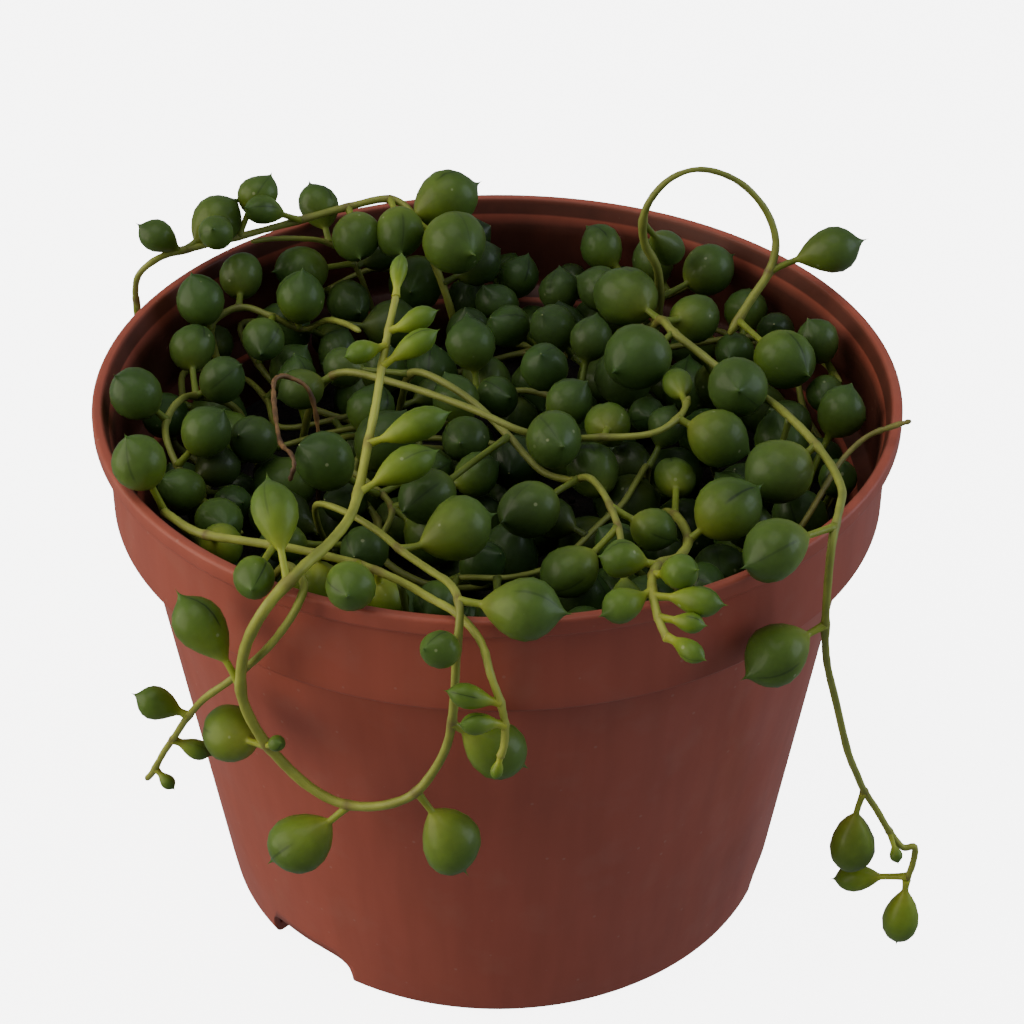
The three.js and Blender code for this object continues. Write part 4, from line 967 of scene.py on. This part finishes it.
def stem_shell(strand, sides):
    """A strand's stem along its smooth curve: three stripes along it in its tones, a swelling where
    each leaf joins it, uneven where it is dry, and narrower towards its tip."""
    rng = np.random.default_rng(STEM_SEED + strand["number"])
    spans = len(strand["route"]) - 1
    places = np.linspace(0, spans, spans * STEM_STEPS + 1)
    share = places / spans
    nodes = np.array([leaf["place"] for leaf in strand["leaves"]] or [-math.inf])
    swell = np.exp(-((places[:, None] - nodes[None, :]) / 0.13) ** 2).max(axis=1)
    uneven = 1 + (0.03 + 0.13 * strand["dry"]) * rng.normal(size=len(places))
    widths = strand["widths"] or [FINE_STEM * strand["radius"], STEM_TAPER * FINE_STEM * strand["radius"]]
    radii = np.interp(share, np.linspace(0, 1, len(widths)), widths) * (1 + 0.24 * swell) * uneven
    radii[-1] *= 0.6
    young, fresh = strand["youth"]
    youth = young + (fresh - young) * share ** YOUTH_POWER
    dry = np.maximum(strand["dry"], fade(share, 0.985, 0.01) * strand["cut"])
    ridge = 0.5 + 0.5 * np.cos(3 * bearings(sides))
    tone = np.stack(np.broadcast_arrays(youth[:, None], ridge[None, :], swell[:, None], dry[:, None]), -1)
    tone = np.vstack([tone[0, :1], tone.reshape(-1, 4), tone[-1, :1]])
    return (*tube_shell(curve_points(strand["route"], places), radii, sides), 1, tone)


def strand_piece(strand):
    """A whole strand: its stem and its leaves as one piece in place of its solid."""
    low, high = strand["youth"]
    spans = len(strand["route"]) - 1
    for leaf in strand["leaves"]:
        leaf["youth"] = low + (high - low) * (leaf["place"] / spans) ** YOUTH_POWER
    if strand["grown"]:
        stem_sides, rings, sides, crowd = 8, MAT_RINGS, 20, 0.45
    else:
        stem_sides, rings, sides, crowd = 12, FINE_RINGS, 26, 0.5
    parts = [stem_shell(strand, stem_sides)]
    if strand["leaves"]:
        parts.append(leaf_shells(strand["leaves"], rings, sides, crowd, LEAF_SEED + strand["number"]))
    make_piece("fine_" + strand["name"], parts, [pearl_skin, stem_skin], [strand["name"]])


# ---- Deeper leaves of the mat

DEEP_SEED = 31
DEEP_OWNER = 900
DEEP_TRIES = 1300
DEEP_DIAMETERS = [8.2, 7.4, 6.6, 5.6]
DEEP_REACH = 14  # longest way from a stem to a deeper leaf's centre
DEEP_EDGE = 3  # least way of that centre from the collar, the soil and the rim's height
DEEP_BELOW = 1.4  # how far the deeper leaves stay under the crest of the mat
DEEP_LAYER = 9  # and how far down they go where they stand higher than the crest
BACK_RISE = 11  # how much higher they stand close to the back wall
SIDE_RISE = 5.5  # how much higher they stand close to the side walls


def deep_leaves(strands, draw):
    """Leaves in the room that the strands leave: at drawn spots, the largest ball that fits,
    on a stalk from the nearest stem. They rise towards the wall, from y = 20 to 40 at the back
    and from 32 to 40 at the sides."""
    stems = np.vstack([curve_points(strand["route"], np.arange(0, len(strand["route"]) - 1, 0.2))
                       for strand in strands])
    stems = stems[(stems[:, 2] > SOIL_TOP) & (np.hypot(stems[:, 0], stems[:, 1]) < COLLAR_RADIUS - 2)]
    leaves = []
    for diameter in [diameter for diameter in DEEP_DIAMETERS for _ in range(DEEP_TRIES)]:
        ring, angle = (COLLAR_RADIUS - DEEP_EDGE) * math.sqrt(draw()), draw() * 2 * math.pi
        x, y = ring * math.cos(angle), ring * math.sin(angle)
        back, side = min(max(y / 20 - 1, 0), 1), min(max(abs(x) / 10 - 3.2, 0), 0.8)
        rise = max(BACK_RISE * back, SIDE_RISE * side)
        top = min(crest((x, y)) - DEEP_BELOW + rise, POT_HEIGHT - DEEP_EDGE)
        low = SOIL_TOP + DEEP_EDGE
        low = max(low, top - DEEP_LAYER) if rise > 2 else low
        centre = np.array([x, y, low + draw() * (top - low)])
        if not in_pot(centre, diameter / 2) or balls.room(centre) < diameter / 2 + 0.1:
            continue
        way = np.sqrt(((stems - centre) ** 2).sum(axis=1))
        way[way < diameter / 2 + 0.8] = math.inf
        if way.min() > DEEP_REACH:
            continue
        leaves.append({"root": stems[way.argmin()], "centre": centre,
                       "diameter": diameter * (0.94 + 0.12 * draw()),
                       "stretch": 1.02 + 0.16 * draw(), "youth": 0.12 * draw()})
        balls.add(centre, diameter / 2, DEEP_OWNER)
    return leaves


# ---- Pot and soil

POT_SIDES = 192
SOIL_SIDES = 120
NOTCH_SIDES = 64
NOTCH_RINGS = 32
SOFT_BLOCK = 5  # the power of a notch's rounded corners
SHARP_BLOCK = 8  # and of its roof's
CRUMBS = 260
CRUMB_SIDES = 7
CRUMB_LIFTS = [-50, -15, 20, 55]


def arc(centre_radius, centre_height, radius, start, end, count=5):
    """Points of a rounded corner in a profile, angles in degrees from outwards to up."""
    angle = np.radians(np.linspace(start, end, count))
    return np.stack([centre_radius + radius * np.cos(angle), centre_height + radius * np.sin(angle)], -1)


def straight(start, end, count):
    """Points between two points of a profile, without the two."""
    return np.linspace(start, end, count + 2)[1:-1]


def pot_shell():
    """The pot's wall and floor: its profile turned about the axis.

    The outside runs up a rounded foot, the tapering body, the step out to the collar and the
    rolled lip; the inside comes back down a wall's thickness in.
    """
    shoulder, lip, inner = SHOULDER_HEIGHT, LIP_BOTTOM, COLLAR_RADIUS - WALL
    high_inner, low_inner = SHOULDER_RADIUS - WALL, body_radius(FLOOR) - WALL
    rows = [
        [[0, 0]], straight([0, 0], [BASE_RADIUS - 1.6, 0], 6),
        arc(BASE_RADIUS - 1.35, 1.5, 1.5, -90, -5, 7),
        straight([body_radius(2), 2], [SHOULDER_RADIUS, shoulder - 0.5], 26),
        [[SHOULDER_RADIUS - 0.05, shoulder - 0.55], [SHOULDER_RADIUS + 0.06, shoulder - 0.32]],
        arc(COLLAR_RADIUS - 0.65, shoulder + 0.45, 0.6, -86, -4, 6),
        straight([COLLAR_RADIUS - 0.04, shoulder + 0.9], [COLLAR_RADIUS, lip - 0.5], 8),
        [[COLLAR_RADIUS + 0.05, lip - 0.25]],
        arc(RIM_RADIUS - 0.5, lip + 0.45, 0.5, -90, 0, 5),
        arc(RIM_RADIUS - 0.5, POT_HEIGHT - 0.5, 0.5, 0, 90, 6),
        arc(RIM_RADIUS - 1.0, POT_HEIGHT - 0.5, 0.5, 95, 170, 5),
        [[inner + 0.25, lip - 0.9], [inner, lip - 1.8]],
        straight([inner, lip - 1.8], [inner, shoulder + 1.4], 8),
        [[inner, shoulder + 1.1], [inner - 0.3, shoulder + 0.75], [high_inner, shoulder - 0.5]],
        straight([high_inner, shoulder - 0.5], [low_inner, FLOOR + 0.3], 18),
        [[low_inner - 0.1, FLOOR]], straight([low_inner - 0.1, FLOOR], [0, FLOOR], 6), [[0, FLOOR]],
    ]
    return turned_shell(np.vstack([np.array(row, float) for row in rows]), POT_SIDES)


def notch_shell(turn, margin, low, outer, power):
    """A drain notch's block grown by a margin: |x|^p + |y|^p + |z|^p = 1 in its own half sizes.
    It reaches from the height low to the notch's top, and out to the radius outer."""
    inner, high = BASE_RADIUS - NOTCH_DEPTH - margin, NOTCH_HEIGHT + margin
    block = ways(NOTCH_SIDES, np.linspace(-math.pi / 2, math.pi / 2, NOTCH_RINGS + 2)[1:-1])
    block = block / (np.abs(block) ** power).sum(-1, keepdims=True) ** (1 / power)
    x, y, z = (block * [(outer - inner) / 2, NOTCH_WIDTH / 2 + margin, (high - low) / 2]).T
    x = x + (outer + inner) / 2
    points = np.stack([x * math.cos(turn) - y * math.sin(turn), x * math.sin(turn) + y * math.cos(turn),
                       z + (high + low) / 2], -1)
    return (points, *shell_faces(NOTCH_RINGS, NOTCH_SIDES))


def plain(points, quads, tris):
    """A shell in a piece's first material, whose finish needs no tones."""
    return points, quads, tris, 0, np.zeros((len(points), 4))


def notched(piece, operation, margin, low, outer, power):
    """Joins a block at each drain notch to a piece, or cuts it away."""
    for i in range(NOTCHES):
        block = notch_shell(math.radians(NOTCH_BEARING + i * 360 / NOTCHES), margin, low, outer, power)
        tool = make_piece(f"notch_{i}", [plain(*block)], [pot_plastic])
        change = piece.modifiers.new("notch", "BOOLEAN")
        change.operation, change.solver, change.object = operation, "EXACT", tool
        graph = bpy.context.evaluated_depsgraph_get()
        whole = bpy.data.meshes.new_from_object(piece.evaluated_get(graph))
        piece.modifiers.clear()
        piece.data = whole
        bpy.data.objects.remove(tool)


def pot_piece():
    """The pot, with drain notches through its foot and their roofs inside."""
    pot = make_piece("fine_pot", [plain(*pot_shell())], [pot_plastic], ["pot"])
    notched(pot, "UNION", NOTCH_ROOF, FLOOR / 4, BASE_RADIUS - 1.8, SHARP_BLOCK)
    notched(pot, "DIFFERENCE", 0, -NOTCH_HEIGHT, BASE_RADIUS + 8, SOFT_BLOCK)


def rough(x, y, seed, count=26, low=0.12, high=1.3):
    """A bumpy field between about -1 and 1: a sum of plane waves with drawn ways and lengths."""
    rng = np.random.default_rng(seed)
    way = rng.uniform(0, 2 * math.pi, count)
    freq = np.exp(rng.uniform(math.log(low), math.log(high), count))
    phase = rng.uniform(0, 2 * math.pi, count)
    waves = np.sin(freq * (x[..., None] * np.cos(way) + y[..., None] * np.sin(way)) + phase)
    return (waves / np.sqrt(freq)).sum(-1) / np.sqrt((1 / freq).sum())


def crumb_shells(reach):
    """Crumbs of peat: small uneven balls, half sunk in the soil."""
    rng = np.random.default_rng(12)
    ring, angle = reach * np.sqrt(rng.uniform(0, 1, CRUMBS)), rng.uniform(0, 2 * math.pi, CRUMBS)
    height = SOIL_TOP - 0.2 - SOIL_CROWN * (ring / reach) ** 4
    centre = np.stack([ring * np.cos(angle), ring * np.sin(angle), height], -1)
    size = rng.uniform(0.5, 1.6, (CRUMBS, 1, 1))
    way = ways(CRUMB_SIDES, np.radians(CRUMB_LIFTS))
    points = centre[:, None, :] + way[None] * size * rng.uniform(0.7, 1.25, (CRUMBS, len(way), 1))
    return (points.reshape(-1, 3), *shell_faces(len(CRUMB_LIFTS), CRUMB_SIDES, CRUMBS))


def soil_piece():
    """The soil: a filled cup, its top crowned and raised by a bumpy field, with crumbs on it."""
    foot, edge = FLOOR + SOIL_CLEARANCE, SOIL_TOP - SOIL_CROWN
    low, high = (float(inside_radius(height)) - SOIL_CLEARANCE for height in (foot, edge))
    out = np.linspace(1, 0, 60)[:-1] * high
    top = np.stack([out, SOIL_TOP - SOIL_CROWN * (out / high) ** 4], -1)
    side = np.linspace([low, foot], [high, edge], 12)[:-1]
    profile = np.vstack([[[0, foot]], side, top, [[0, SOIL_TOP]]])
    points, *faces = turned_shell(profile, SOIL_SIDES)
    x, y, z = points.T
    on_top = (z > edge - 1) * fade(np.hypot(x, y), high, -2)
    points[:, 2] += on_top * (0.9 * rough(x, y, 5) - 0.2)
    soil = make_piece("fine_soil", [plain(points, *faces), plain(*crumb_shells(high - 2))],
                      [soil_earth], ["soil"])
    notched(soil, "DIFFERENCE", NOTCH_ROOF + SOIL_CLEARANCE, -NOTCH_HEIGHT, BASE_RADIUS + 8, SHARP_BLOCK)


# ---- The object

pearl_skin = make_pearl_skin("pearl_skin", 1.0)
# the deeper leaves get the pearl skin scaled to 0.55: a painted shade for their place low in the mat
shaded_deep_skin = make_pearl_skin("shaded_deep_skin", 0.55)
stem_skin = make_stem_skin()
pot_plastic = make_pot_plastic()
soil_earth = make_soil_earth()

strands = lay_plant()
free_unhung_pearls(strands)
for strand in strands:
    strand_piece(strand)
pot_piece()
soil_piece()
deep = leaf_shells(deep_leaves(strands, make_draw(DEEP_SEED)), DEEP_RINGS, 12, 0.2, DEEP_LEAF_SEED)
make_piece("deep_leaves", [deep], [shaded_deep_skin])


# ---- Studio

MIDDLE = (0, 0, 0.05)


def studio_floor():
    """A wide pale floor, which lights nothing on the object."""
    bpy.ops.mesh.primitive_plane_add(size=8, location=(0, 0, 0))
    floor = bpy.context.object
    floor.name = "floor"
    paper = Finish("floor_paper")
    paper.set(Base_Color=(0.93, 0.93, 0.93), Roughness=0.9)
    paper.set(Emission_Color=(1, 1, 1), Emission_Strength=6.0)
    floor.data.materials.append(paper.material)
    floor.visible_diffuse = False
    floor.visible_glossy = False


def soft_light(name, place, size, power, colour):
    """A square soft light at a place, turned towards the object's middle."""
    lamp = bpy.data.lights.new(name, "AREA")
    lamp.size, lamp.energy, lamp.color = size, power, colour
    light = bpy.data.objects.new(name, lamp)
    light.location = place
    x, y, z = np.array(MIDDLE) - np.array(place)
    light.rotation_euler = (math.atan2(math.hypot(x, y), -z), 0, math.atan2(y, x) - math.pi / 2)
    bpy.context.scene.collection.objects.link(light)


def studio_world(colour, strength):
    """An even pale light from all round."""
    world = bpy.data.worlds.new("studio")
    world.use_nodes = True
    background = world.node_tree.nodes["Background"]
    background.inputs["Color"].default_value = (*colour, 1)
    background.inputs["Strength"].default_value = strength
    bpy.context.scene.world = world


def studio_camera(elevation, target, far, lens):
    """A camera straight in front of a point, raised by elevation degrees."""
    rise = math.radians(elevation)
    view = bpy.data.cameras.new("camera")
    view.lens, view.sensor_width = lens, 36
    camera = bpy.data.objects.new("camera", view)
    camera.location = (target[0], target[1] - far * math.cos(rise), target[2] + far * math.sin(rise))
    camera.rotation_euler = (math.pi / 2 - rise, 0, 0)
    bpy.context.scene.collection.objects.link(camera)
    bpy.context.scene.camera = camera


studio_floor()
soft_light("window", (-0.98, -0.24, 0.36), 1.2, 15.5, (1.0, 0.88, 0.74))
soft_light("ceiling", (-0.1, -0.1, 1.1), 0.8, 4.0, (1.0, 0.97, 0.90))
soft_light("room", (0.8, 0.0, 0.30), 0.6, 3.4, (0.78, 0.84, 1.0))
studio_world((0.92, 0.94, 1.0), 0.28)
studio_camera(34.4, (0.0019, 0, 0.0554), 0.360, 94)
